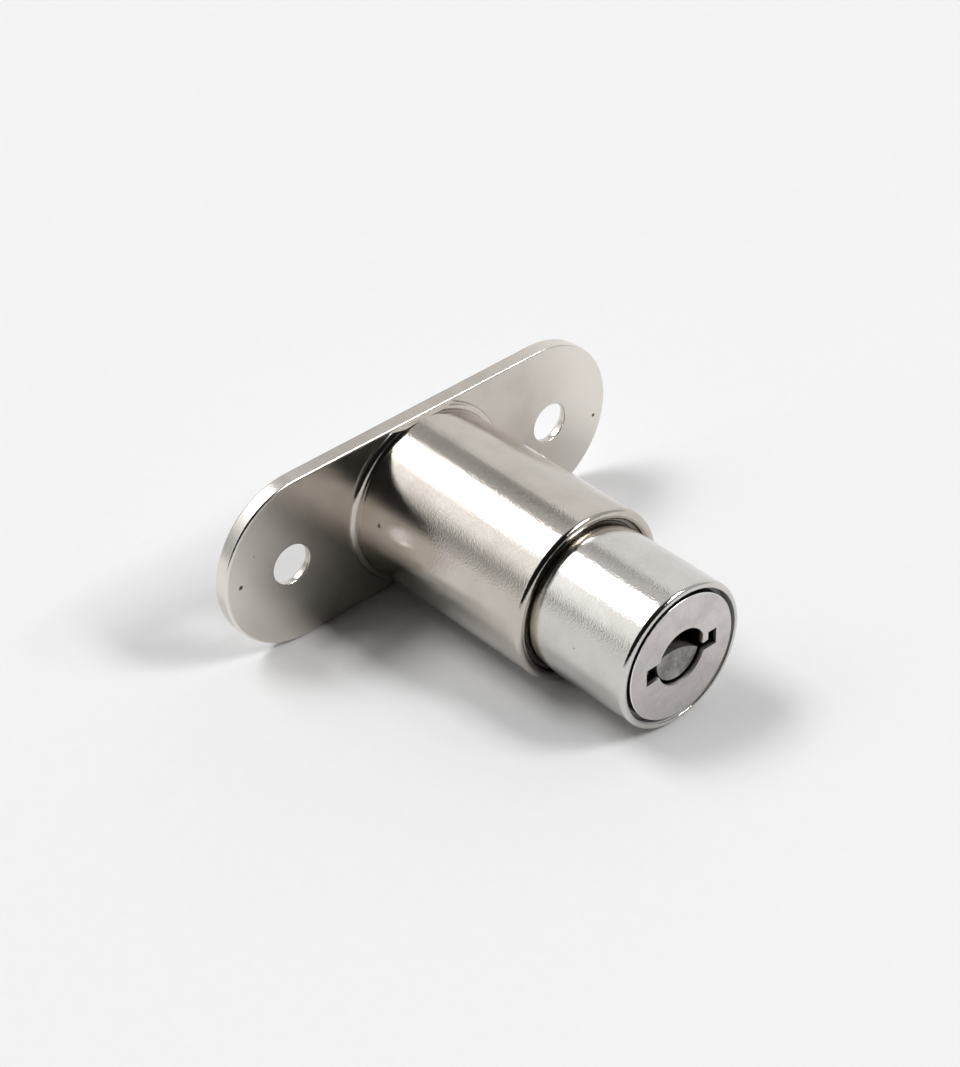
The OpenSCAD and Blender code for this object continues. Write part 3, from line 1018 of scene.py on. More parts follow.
@dataclass
class HousingUnit:
    """Oval flange, foot ring and barrel in one casting, with its back cap and stop pin."""

    flange_l: float = 51.99
    flange_w: float = 19.5
    flange_t: float = 1.8
    flange_edge: float = 0.3
    screw_spacing: float = 35.5
    screw_hole_d: float = 4.5
    screw_sink_d: float = 6.8
    screw_sink_t: float = 1.15
    hole_edge: float = 0.15
    barrel_d: float = 19.0
    barrel_l: float = 24.5
    barrel_bite: float = 0.4
    bore_r: float = 8.0
    mouth_r: float = 8.3
    mouth_t: float = 0.8
    collar_r: float = 0.6
    collar_out: float = 0.2
    ring_past: float = 0.03
    past: float = 0.003
    cap_d: float = 17.6
    cap_t: float = 1.4
    cap_sink: float = 0.1
    cap_hole_r: float = 3.55
    cap_hole_edge: float = 0.25
    cap_edge: float = 0.18
    cap_groove: tuple[float, float, float, float] = (2.3, 2.0, 1.6, 1.3)
    cap_groove_t: float = 0.12
    seat_gap: float = 0.02
    seat_edge: float = 0.15
    window_w: float = 7.0
    window_from: float = 5.9
    window_to: float = 8.7
    window_edge: float = 0.35
    stop_s: float = 15.5
    stop_r: float = 1.0
    stop_from: float = 2.0
    # Painted shade in the barrel's mouth, round the plunger.
    shade_past: float = 0.02
    shade_from: float = 0.5
    shade_t: float = 0.5

    @property
    def cap_front(self) -> float:
        """Place of the cap's inner face."""
        return self.cap_t + self.cap_sink - self.flange_t

    def build(self) -> None:
        """Builds and dresses the group."""
        self.casting()
        self.rear_cap()

    def plate(self) -> bpy.types.Object:
        """The oval flange with its rounded rims.

        Returns:
            The piece, in millimetres.
        """
        steps, half = 192, (self.flange_l - self.flange_w) / 2
        upright = (math.pi / 2, math.pi / steps, 0)
        Bench.clear()
        bpy.ops.mesh.primitive_circle_add(
            vertices=steps, radius=self.flange_w / 2, rotation=upright
        )
        piece = bpy.context.object
        Bench.settle(piece)
        for side in (-1, 1):
            Bench.choose(piece, lambda a, b: a.x * side > 0 and b.x * side > 0)
            bpy.ops.transform.translate(value=(side * half, 0, 0))
            bpy.ops.object.mode_set(mode="OBJECT")
        bpy.ops.object.mode_set(mode="EDIT")
        bpy.ops.mesh.select_all(action="SELECT")
        bpy.ops.mesh.edge_face_add()
        bpy.ops.mesh.extrude_region_move(TRANSFORM_OT_translate={"value": (0, self.flange_t, 0)})
        bpy.ops.mesh.select_all(action="SELECT")
        bpy.ops.mesh.normals_make_consistent(inside=False)
        Bench.round_edges(
            piece, lambda a, b: abs(a.y - b.y) < Bench.SEAM, self.flange_edge, segments=6
        )
        return piece

    def ring(self) -> bpy.types.Object:
        """The foot ring, cut off just past the place where the flange's rims begin to round.

        Returns:
            The piece, in millimetres.
        """
        middle = self.barrel_d / 2 + self.collar_out
        meet = math.degrees(math.acos(-self.collar_out / self.collar_r))
        inner, below = self.barrel_d / 2 - self.barrel_bite, -self.flange_t / 2
        profile = [(inner, below), (middle + self.collar_r, below)]
        profile += arc((middle, 0.0), self.collar_r, 0, meet, steps=14)
        profile += [(inner, profile[-1][1])]
        piece = Bench.turn("ring", profile)
        flat = self.flange_w / 2 - self.flange_edge + self.ring_past
        for side in (-1, 1):
            Bench.trim(piece, Vector((0, 0, side * flat)), Vector((0, 0, side)))
        return piece

    def barrel(self) -> bpy.types.Object:
        """The solid barrel with its full-round lip.

        Returns:
            The piece, in millimetres.
        """
        outer = self.barrel_d / 2
        lip = (outer - self.mouth_r) / 2
        below = -self.flange_t / 2
        profile = [(0.0, below), (outer, below)]
        profile += arc((outer - lip, self.barrel_l - lip), lip, 0, 180, steps=20)
        profile += [(0.0, self.barrel_l - lip)]
        return Bench.turn("barrel", profile)

    def bore(self) -> bpy.types.Object:
        """The tool that opens the bore, its mouth and the cap's seat.

        Returns:
            The tool.
        """
        cap_r = self.cap_d / 2 + self.seat_gap
        front, mouth = self.barrel_l + 2 * OVER, self.barrel_l - self.mouth_t
        profile = [
            (0.0, -self.flange_t - OVER),
            (cap_r + self.seat_edge + OVER, -self.flange_t - OVER),
            (cap_r, -self.flange_t + self.seat_edge),
            (cap_r, self.cap_front),
            (self.bore_r, self.cap_front),
            (self.bore_r, mouth),
            (self.mouth_r, mouth),
            (self.mouth_r, front),
            (0.0, front),
        ]
        return Bench.turn("bore", profile)

    def screw_hole(self, x: float) -> bpy.types.Object:
        """The tool for one screw hole, with an eased front edge and a countersink at the back.

        Args:
            x: Place of the hole along the flange.

        Returns:
            The tool.
        """
        hole, sink, edge = self.screw_hole_d / 2, self.screw_sink_d / 2, self.hole_edge
        wider = OVER * (sink - hole) / self.screw_sink_t
        profile = [(0.0, -self.flange_t - OVER), (sink + wider, -self.flange_t - OVER)]
        profile += [(hole, self.screw_sink_t - self.flange_t)]
        profile += arc((hole + edge, self.past - edge), edge, 180, 90, steps=6)
        profile += [(hole + edge, OVER), (0.0, OVER)]
        piece = Bench.turn("screw hole", profile, steps=96)
        piece.data.transform(Matrix.Translation((x, 0, 0)))
        return piece

    def casting(self) -> None:
        """The whole housing, with its bore, screw holes, latch window and stop pin's hole."""
        piece = self.plate()
        Bench.combine(piece, self.ring(), Cut.JOIN)
        Bench.combine(piece, self.barrel(), Cut.JOIN)
        Bench.combine(piece, self.bore(), Cut.REMOVE)
        for side in (-1, 1):
            Bench.combine(piece, self.screw_hole(side * self.screw_spacing / 2), Cut.REMOVE)
        low = Vector((-self.window_w / 2, -self.window_to, -self.barrel_d / 2 - OVER))
        high = Vector((self.window_w / 2, -self.window_from, -OVER))
        Bench.combine(piece, Bench.block(low, high, self.window_edge), Cut.REMOVE)
        start = Vector((self.stop_from, -self.stop_s, 0))
        end = Vector((self.barrel_d, -self.stop_s, 0))
        Bench.combine(piece, Bench.rod(start, end, self.stop_r + self.seat_gap), Cut.REMOVE)
        Bench.finish(piece, "lock_housing")
        # Painted shade in the barrel's mouth round the plunger; the flange's lighter ends are
        # painted light.
        radius, mouth = self.mouth_r + self.shade_past, self.barrel_l - self.shade_from
        finish = NickelFinish(
            name="bright nickel, housing",
            slot="housing_nickel",
            pits=(
                Pit(x=-24.13, y=0.0, z=0.54, radius=0.30),
                Pit(x=24.23, y=0.0, z=-2.09, radius=0.26),
                # A small dark spot on the barrel beside the flange.
                Pit(x=-9.22, y=-3.6, z=2.3, radius=0.28),
            ),
            painted_bands=(PaintedBand(radius, mouth, self.shade_t),),
            tone=(0.59, 0.55, 0.50),
            second=(0.545, 0.502, 0.452),
            # Painted light towards the flange's ends.
            ends=(0.78, 0.735, 0.68),
        )
        mount(piece, Body.HOUSING, finish, "housing")

    def rear_cap(self) -> None:
        """The disc in the flange's back that guides the bolt."""
        r, back = self.cap_d / 2, self.cap_front - self.cap_t
        hole, eased, edge = self.cap_hole_r, self.cap_hole_edge, self.cap_edge
        inner, inner_foot, outer_foot, outer = (r - inset for inset in self.cap_groove)
        floor = back + self.cap_groove_t
        profile = [(hole, back + eased), (hole + eased, back)]
        profile += [(inner, back), (inner_foot, floor), (outer_foot, floor), (outer, back)]
        profile += arc((r - edge, back + edge), edge, -90, 0, steps=5)
        profile += [(r, self.cap_front), (hole, self.cap_front)]
        piece = Bench.turn("cap", profile)
        Bench.finish(piece, "back_cap", angle=50.0)
        finish = TurnedFinish(
            name="turned nickel, cap",
            slot="cap_nickel",
            tone=(0.76, 0.73, 0.69),
            second=(0.68, 0.65, 0.61),
        )
        mount(piece, Body.HOUSING, finish, "rear_cap")


@dataclass
class PlungerUnit:
    """The sprung sleeve with the locking bolt riveted into its back."""

    radius: float = 7.95
    back: float = 13.5
    front: float = 37.1
    edge: float = 0.5
    back_edge: float = 0.2
    recess_r: float = 7.3
    recess_t: float = 1.2
    recess_edge: float = 0.1
    plug_bore_r: float = 5.6
    slot_back: float = 15.0
    slot_front: float = 17.6
    slot_w: float = 6.8
    slot_top: float = 6.9
    slot_past: float = 0.004
    rivet_bore_r: float = 1.97
    rivet_r: float = 1.95
    rivet_end: float = 14.98
    rivet_edge: float = 0.2
    groove_floor: float = 6.8
    groove_w: float = 2.2
    groove_from: float = 14.4
    groove_to: float = 25.6
    groove_edge: float = 0.3
    keeper_s: float = 22.0
    keeper_r: float = 0.77
    keeper_from: float = 4.0
    broach_r: float = 6.15
    broach_h: float = 4.8
    broach_from: float = 24.2
    broach_to: float = 32.5
    bolt_r: float = 3.5
    bolt_tip: float = -1.7
    bolt_edge: float = 0.8
    # A pale matt band in the recess's mouth: a painted reflection of its wall.
    pale_band_past: float = 0.03
    pale_band_from: float = 0.08
    pale_band_t: float = 0.1

    def build(self) -> None:
        """Builds and dresses the group."""
        self.sleeve()
        self.bolt()

    def sleeve(self) -> None:
        """The plunger itself, with the room that its bolt, latch, pins and wafers need."""
        r, edge, lip = self.radius, self.edge, self.recess_edge
        profile = [(0.0, self.back), (r - self.back_edge, self.back)]
        profile += [(r, self.back + self.back_edge)]
        profile += arc((r - edge, self.front - edge), edge, 0, 90, steps=12)
        profile += arc((self.recess_r + lip, self.front - lip), lip, 90, 180, steps=4)
        floor = self.front - self.recess_t
        profile += [(self.recess_r, floor), (self.plug_bore_r, floor)]
        profile += [(self.plug_bore_r, self.slot_front), (0.0, self.slot_front)]
        piece = Bench.turn("sleeve", profile)
        start = Vector((0, -self.back + 2 * OVER, 0))
        end = Vector((0, -self.slot_back - OVER, 0))
        Bench.combine(piece, Bench.rod(start, end, self.rivet_bore_r, steps=96), Cut.REMOVE)
        half = self.slot_w / 2
        low = Vector((-half, -self.slot_front - self.slot_past, -r - OVER))
        high = Vector((half, -self.slot_back, self.slot_top))
        Bench.combine(piece, Bench.block(low, high), Cut.REMOVE)
        low = Vector((self.groove_floor, -self.groove_to, -self.groove_w / 2))
        high = Vector((r + 2 * OVER, -self.groove_from, self.groove_w / 2))
        Bench.combine(piece, Bench.block(low, high, self.groove_edge), Cut.REMOVE)
        for turned in (False, True):
            Bench.combine(piece, self.broach(turned), Cut.REMOVE)
        start = Vector((0, -self.keeper_s, self.keeper_from))
        end = Vector((0, -self.keeper_s, r + OVER))
        Bench.combine(piece, Bench.rod(start, end, self.keeper_r), Cut.REMOVE)
        Bench.finish(piece, "lock_plunger")
        # A pale matt band in the recess's mouth, as a painted reflection.
        radius, mouth = self.recess_r + self.pale_band_past, self.front - self.pale_band_from
        finish = NickelFinish(
            name="bright nickel, plunger",
            slot="plunger_nickel",
            tone=(0.66, 0.637, 0.605),
            second=(0.61, 0.583, 0.547),
            rough=0.07,
            painted_bands=(PaintedBand(radius, mouth, self.pale_band_t),),
            painted_band_tone=(0.70, 0.69, 0.66),
            painted_band_metal=0.0,
        )
        mount(piece, Body.PLUNGER, finish, "plunger")

    def broach(self, turned: bool) -> bpy.types.Object:
        """The tool for one pair of grooves that take the wafers' ends.

        Args:
            turned: Whether the pair lies across the other one.

        Returns:
            The tool.
        """
        profile = [(0.0, self.broach_from), (self.broach_r, self.broach_from)]
        profile += [(self.broach_r, self.broach_to), (0.0, self.broach_to)]
        piece = Bench.turn("broach", profile, steps=96)
        for side in (-1, 1):
            Bench.trim(piece, Vector((0, 0, side * self.broach_h / 2)), Vector((0, 0, side)))
        if turned:
            piece.data.transform(Matrix.Rotation(math.pi / 2, 4, "Y"))
        return piece

    def bolt(self) -> None:
        """The locking bolt with its rounded tip and its rivet."""
        r, edge, tip = self.bolt_r, self.bolt_edge, self.bolt_tip
        rivet, end, eased = self.rivet_r, self.rivet_end, self.rivet_edge
        profile = [(0.0, tip)] + arc((r - edge, tip + edge), edge, -90, 0, steps=12)
        profile += [(r, self.back), (rivet, self.back)]
        profile += [(rivet, end - eased), (rivet - eased, end), (0.0, end)]
        piece = Bench.turn("bolt", profile, steps=128)
        Bench.finish(piece, "lock_bolt", angle=50.0)
        finish = TurnedFinish(
            name="turned nickel, bolt",
            slot="bolt_nickel",
            tone=(0.78, 0.75, 0.71),
            second=(0.70, 0.67, 0.63),
            rough=0.2,
        )
        mount(piece, Body.PLUNGER, finish, "bolt")


@dataclass
class PlugUnit:
    """The key core with its keyway, and the post in the keyway's round hole."""

    plug_r: float = 5.55
    back: float = 18.8
    back_edge: float = 0.15
    front: float = 37.1
    head_r: float = 6.85
    head_from: float = 36.0
    head_edge: float = 0.1
    groove_from: float = 21.15
    groove_to: float = 22.85
    groove_r: float = 4.85
    round_r: float = 3.1
    round_t: float = 4.0
    slot_l: float = 9.4
    slot_h: float = 1.9
    slot_from: float = 23.5
    ward_in: float = 2.85
    ward_x: float = 3.6
    ward_foot: float = 0.05
    ward_end_w: float = 0.6
    ward_end_sink: float = 0.4
    keyway_edge: float = 0.11
    keyway_reach: float = 5.0
    beside: float = 0.02
    post_r: float = 2.8
    post_seat_r: float = 2.82
    post_seat_t: float = 0.8
    post_sink: float = 0.55
    post_top: float = 0.8
    post_shift: float = 1.2
    post_crown_r: float = 6.0
    post_edge: float = 0.3
    post_lift: float = 0.1
    wafers: int = 5
    wafer_first: float = 24.75
    wafer_pitch: float = 1.8
    wafer_slot_t: float = 1.0
    wafer_slot_h: float = 4.8
    wafer_reach: float = 7.0
    pocket_in: float = 0.65
    pocket_l: float = 3.6
    pocket_top: float = 3.4
    tongue_l: float = 6.2
    tongue_w: float = 1.7
    tongue_h: float = 1.2
    # Painted shade in the keyway and in the gap round the plug's head.
    shade_r: float = 4.9
    shade_from: float = 0.12
    shade_t: float = 0.45
    gap_shade_past: float = 0.02
    gap_shade_in: float = 0.12
    gap_shade_from: float = 0.05
    gap_shade_t: float = 0.03

    def build(self) -> None:
        """Builds and dresses the group."""
        self.core()
        self.post()

    def core(self) -> None:
        """The plug with its head, keyway, ring groove and wafer slots."""
        r, head, edge = self.plug_r, self.head_r, self.head_edge
        profile = [(0.0, self.back), (r - self.back_edge, self.back)]
        profile += [(r, self.back + self.back_edge)]
        profile += [(r, self.groove_from), (self.groove_r, self.groove_from)]
        profile += [(self.groove_r, self.groove_to), (r, self.groove_to), (r, self.head_from)]
        profile += arc((head - edge, self.head_from + edge), edge, -90, 0, steps=4)
        profile += arc((head - edge, self.front - edge), edge, 0, 90, steps=5)
        profile += [(0.0, self.front)]
        piece = Bench.turn("core", profile)
        Bench.combine(piece, self.keyway(), Cut.REMOVE)
        for index in range(self.wafers):
            for tool in self.wafer_room(index):
                Bench.combine(piece, tool, Cut.REMOVE)
        low = Vector((-self.tongue_l / 2, -self.back - self.tongue_h, -self.tongue_w / 2))
        high = Vector((self.tongue_l / 2, -self.back + OVER, self.tongue_w / 2))
        Bench.combine(piece, Bench.block(low, high), Cut.REMOVE)
        Bench.round_edges(piece, self.on_mouth, self.keyway_edge, segments=2)
        Bench.finish(piece, "key_plug")
        finish = SatinFinish(
            name="satin nickel, plug",
            slot="plug_satin",
            tone=(0.66, 0.622, 0.605),
            second=(0.60, 0.563, 0.547),
            # Painted shade in the keyway and round the head.
            painted_bands=(self.keyway_shade(), self.gap_shade()),
        )
        mount(piece, Body.PLUG, finish, "plug")

    def keyway_shade(self) -> PaintedBand:
        """The painted shade in the keyway."""
        return PaintedBand(self.shade_r, self.front - self.shade_from, self.shade_t)

    def gap_shade(self) -> PaintedBand:
        """The painted shade in the gap round the plug's head."""
        outer, inner = self.head_r + self.gap_shade_past, self.head_r - self.gap_shade_in
        return PaintedBand(outer, self.front - self.gap_shade_from, self.gap_shade_t, inner)

    def is_open(self, x: float, z: float) -> bool:
        """Whether a point of the front face lies in the keyway.

        Args:
            x: Its place along the flange.
            z: Its height.

        Returns:
            True in the keyway.
        """
        in_round = math.hypot(x, z) < self.round_r
        in_slot = abs(x) < self.slot_l / 2 and abs(z) < self.slot_h / 2
        in_ward = self.ward_in < x < self.ward_x and z > self.ward_foot
        return (in_round or in_slot) and not in_ward

    def on_mouth(self, first: Vector, second: Vector) -> bool:
        """Whether an edge lies in the front face and has the keyway on one side only.

        Args:
            first: One end of the edge.
            second: The other end.

        Returns:
            True on the keyway's outline.
        """
        level, away = max(first.y, second.y), max(first.xz.length, second.xz.length)
        if level >= ON_FACE - self.front or away >= self.keyway_reach:
            return False
        middle, along = (first + second) / 2, second - first
        across = Vector((along.z, -along.x)).normalized() * self.beside
        near = self.is_open(middle.x + across.x, middle.z + across.y)
        return near != self.is_open(middle.x - across.x, middle.z - across.y)

    def keyway(self) -> bpy.types.Object:
        """The tool for the round hole, the slot with its two wards and the post's seat.

        Returns:
            The tool.
        """
        deep = self.front - self.round_t
        start, end = Vector((0, -deep, 0)), Vector((0, -self.front + OVER, 0))
        seat = Bench.rod(start, end, self.post_seat_r, steps=128)
        start = Vector((0, -deep - self.post_seat_t, 0))
        end = Vector((0, -self.front - OVER, 0))
        tool = Bench.rod(start, end, self.round_r, steps=128)
        low = Vector((-self.slot_l / 2, -self.front - OVER, -self.slot_h / 2))
        high = Vector((self.slot_l / 2, -self.slot_from, self.slot_h / 2))
        Bench.combine(tool, Bench.block(low, high), Cut.JOIN)
        low = Vector((self.ward_in, -self.front - 2 * OVER, self.ward_foot))
        high = Vector((self.ward_x, -self.slot_from + OVER, self.round_r + OVER))
        Bench.combine(tool, Bench.block(low, high), Cut.REMOVE)
        sunk = -self.front + self.ward_end_sink
        low = Vector((-self.slot_l / 2 - OVER, sunk, self.ward_foot))
        high = Vector((self.ward_end_w - self.slot_l / 2, -self.slot_from + OVER, self.slot_h))
        Bench.combine(tool, Bench.block(low, high), Cut.REMOVE)
        Bench.combine(tool, seat, Cut.JOIN)
        return tool

    def wafer_room(self, index: int) -> list[bpy.types.Object]:
        """The tools for one wafer's slot and its spring's pocket.

        Args:
            index: Number of the wafer, counted from the back.

        Returns:
            The two tools.
        """
        middle, half = self.wafer_first + index * self.wafer_pitch, self.wafer_slot_t / 2
        side = 1 if index % 2 == 0 else -1
        low = Vector((-self.wafer_reach, -middle - half, -self.wafer_slot_h / 2))
        high = Vector((self.wafer_reach, -middle + half, self.wafer_slot_h / 2))
        ends = sorted((-side * self.pocket_l, side * self.pocket_in))
        pocket_low = Vector((ends[0], -middle - half, 0.0))
        pocket_high = Vector((ends[1], -middle + half, self.pocket_top))
        return [Bench.block(low, high), Bench.block(pocket_low, pocket_high)]

    def post(self) -> None:
        """The post with its crowned top, low in the keyway's round hole."""
        back = self.front - self.round_t + self.post_lift
        front = self.front - self.post_sink
        start, end = Vector((0, -back, 0)), Vector((0, -front, 0))
        piece = Bench.rod(start, end, self.post_r, steps=128)
        place = Vector((-self.post_shift, 0, self.post_top - self.post_crown_r))
        past = Vector((0, OVER, 0))
        crown = Bench.rod(start + place + past, end + place - past, self.post_crown_r, steps=256)
        Bench.combine(piece, crown, Cut.KEEP)
        face = -front + ON_FACE
        Bench.round_edges(
            piece, lambda a, b: a.y < face and b.y < face, self.post_edge, segments=5
        )
        Bench.finish(piece, "keyway_guide", angle=40.0)
        finish = CastFinish(
            name="cast steel, post",
            slot="post_steel",
            tone=(0.37, 0.355, 0.34),
            second=(0.24, 0.23, 0.22),
            scale=2600.0,
        )
        mount(piece, Body.PLUG, finish, "keyway_post")


@dataclass(frozen=True)
class Coil:
    """A wire spring between two points, in millimetres."""

    name: str
    start: Vector
    end: Vector
    mean_r: float
    wire_r: float
    turns: float
    sides: int = 16
    steps: int = 28

    def build(self) -> bpy.types.Object:
        """Makes the spring by sweeping the wire's section with a screw.

        Returns:
            The finished piece, in metres.
        """
        Bench.clear()
        along = self.end - self.start
        bpy.ops.mesh.primitive_circle_add(
            vertices=self.sides,
            radius=self.wire_r,
            fill_type="NGON",
            rotation=(math.pi / 2, 0, 0),
        )
        piece = bpy.context.object
        piece.location = (self.mean_r, 0, self.wire_r)
        Bench.settle(piece)
        bpy.ops.object.modifier_add(type="SCREW")
        modifier = piece.modifiers[-1]
        modifier.axis = "Z"
        modifier.angle = 2 * math.pi * self.turns
        modifier.screw_offset = along.length - 2 * self.wire_r
        modifier.steps = modifier.render_steps = round(self.steps * self.turns)
        modifier.use_merge_vertices = False
        bpy.ops.object.modifier_apply(modifier=modifier.name)
        turn = along.to_track_quat("Z", "X").to_matrix().to_4x4()
        piece.data.transform(Matrix.Translation(self.start) @ turn)
        bpy.ops.object.mode_set(mode="EDIT")
        bpy.ops.mesh.select_all(action="SELECT")
        bpy.ops.mesh.normals_make_consistent(inside=False)
        bpy.ops.object.mode_set(mode="OBJECT")
        return Bench.finish(piece, self.name, angle=60.0)


@dataclass
class SpringSet:
    """Return spring, latch spring and the five wafer springs."""

    return_from: float = 0.2
    return_to: float = 13.4
    return_r: float = 5.7
    return_wire: float = 0.4
    return_turns: float = 5.5
    travel: float = 9.0
    latch_s: float = 16.3
    latch_from: float = 3.7
    latch_to: float = 6.8
    latch_r: float = 0.95
    latch_wire: float = 0.2
    latch_turns: float = 3.0
    latch_lift: float = 1.3
    wafers: int = 5
    wafer_first: float = 24.75
    wafer_pitch: float = 1.8
    wafer_from: float = 1.05
    wafer_to: float = 3.45
    wafer_height: float = 2.8
    wafer_r: float = 0.33
    wafer_wire: float = 0.07
    wafer_turns: float = 7.0
    wafer_out: float = 0.55

    def build(self) -> None:
        """Builds and dresses the springs."""
        steel = TurnedFinish(
            name="drawn spring wire",
            slot="spring_steel",
            tone=(0.50, 0.485, 0.47),
            second=(0.36, 0.35, 0.34),
            rough=0.26,
            lines=0.25,
            cloud_scale=900.0,
        )
        self.return_spring(steel)
        self.latch_spring(steel)
        for index in range(self.wafers):
            self.wafer_spring(index, steel)

    def return_spring(self, steel: Finish) -> None:
        """The spring round the bolt that pushes the plunger out.

        Args:
            steel: Its finish.
        """
        start, end = Vector((0, self.return_from, 0)), Vector((0, -self.return_to, 0))
        wire = self.return_wire
        piece = Coil("push_spring", start, end, self.return_r, wire, self.return_turns).build()
        mount(piece, Body.HOUSING, steel, "return_spring")
        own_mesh(piece)

    def latch_spring(self, steel: Finish) -> None:
        """The spring that pushes the latch towards its window.

        Args:
            steel: Its finish.
        """
        start = Vector((0, -self.latch_s, self.latch_to))
        end = Vector((0, -self.latch_s, self.latch_from))
        wire = self.latch_wire
        piece = Coil("latch_coil", start, end, self.latch_r, wire, self.latch_turns).build()
        mount(piece, Body.PLUNGER, steel, "latch_spring")
        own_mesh(piece)

    def wafer_spring(self, index: int, steel: Finish) -> None:
        """The spring beside one wafer, on the left and the right in turn.

        Args:
            index: Number of the wafer, counted from the back.
            steel: Its finish.
        """
        side = 1 if index % 2 == 0 else -1
        place = Vector((0, -self.wafer_first - index * self.wafer_pitch, self.wafer_height))
        start = place - Vector((side * self.wafer_to, 0, 0))
        end = place - Vector((side * self.wafer_from, 0, 0))
        name, wire = f"wafer_coil_{index + 1}", self.wafer_wire
        piece = Coil(name, start, end, self.wafer_r, wire, self.wafer_turns).build()
        mount(piece, Body.PLUG, steel, f"wafer_spring_{index + 1}")
        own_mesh(piece)


@dataclass
class InnerParts:
    """The pieces that keep their CAD shape and get their own finish."""

    nodes: dict[str, bpy.types.Object]
    wafers: int = 5

    def build(self) -> None:
        """Dresses the nodes."""
        pin = TurnedFinish(
            name="turned steel, pins",
            slot="steel_pin",
            tone=(0.56, 0.545, 0.53),
            second=(0.46, 0.45, 0.435),
        )
        brass = TurnedFinish(
            name="stamped brass, latch",
            slot="latch_brass",
            tone=(0.80, 0.62, 0.33),
            second=(0.66, 0.49, 0.25),
            rough=0.3,
            pitch=0.2,
        )
        sheet = TurnedFinish(
            name="stamped brass, wafers",
            slot="wafer_brass",
            tone=(0.83, 0.66, 0.36),
            second=(0.70, 0.53, 0.28),
            rough=0.27,
            pitch=0.15,
            cloud_scale=600.0,
        )
        zinc = CastFinish(
            name="cast zinc, cam",
            slot="cam_zinc",
            tone=(0.52, 0.52, 0.52),
            second=(0.40, 0.40, 0.41),
        )
        for name in ("stop_pin", "plug_retainer"):
            dress(self.nodes[name], pin)
        dress(self.nodes["latch"], brass)
        dress(self.nodes["cam"], zinc)
        for index in range(self.wafers):
            dress(self.nodes[f"wafer_{index + 1}"], sheet)


@dataclass(frozen=True)
class Panel:
    """A soft light panel level overhead, in metres, turned by degrees about its middle."""

    name: str
    x: float
    y: float
    width: float
    depth: float
    turn: float
    radiance: float
    height: float = 2.0

    def build(self) -> None:
        """Hangs the panel."""
        data = bpy.data.lights.new(self.name, "AREA")
        data.shape = "RECTANGLE"
        data.size, data.size_y = self.width, self.depth
        data.energy = self.radiance * math.pi * self.width * self.depth
        lamp = bpy.data.objects.new(self.name, data)
        bpy.context.scene.collection.objects.link(lamp)
        place = Matrix.Translation((self.x, self.y, self.height))
        lamp.matrix_world = place @ Matrix.Rotation(math.radians(self.turn), 4, "Z")
        lamp.visible_camera = False


@dataclass(frozen=True)
class Side:
    """One side of a plane through the eye: the plane's normal and half its edge's softness."""

    x: float
    y: float
    z: float
    soft: float


@dataclass(frozen=True)
class Ramp:
    """A smooth change from one number to another along one axis of the direction."""

    axis: str
    low: float
    high: float
    start: float
    end: float

    def along(self, graph: Graph, way: Any) -> Any:
        """The number for a direction that is given by its parts."""
        return graph.fade(way[self.axis], self.low, self.high, self.start, self.end)


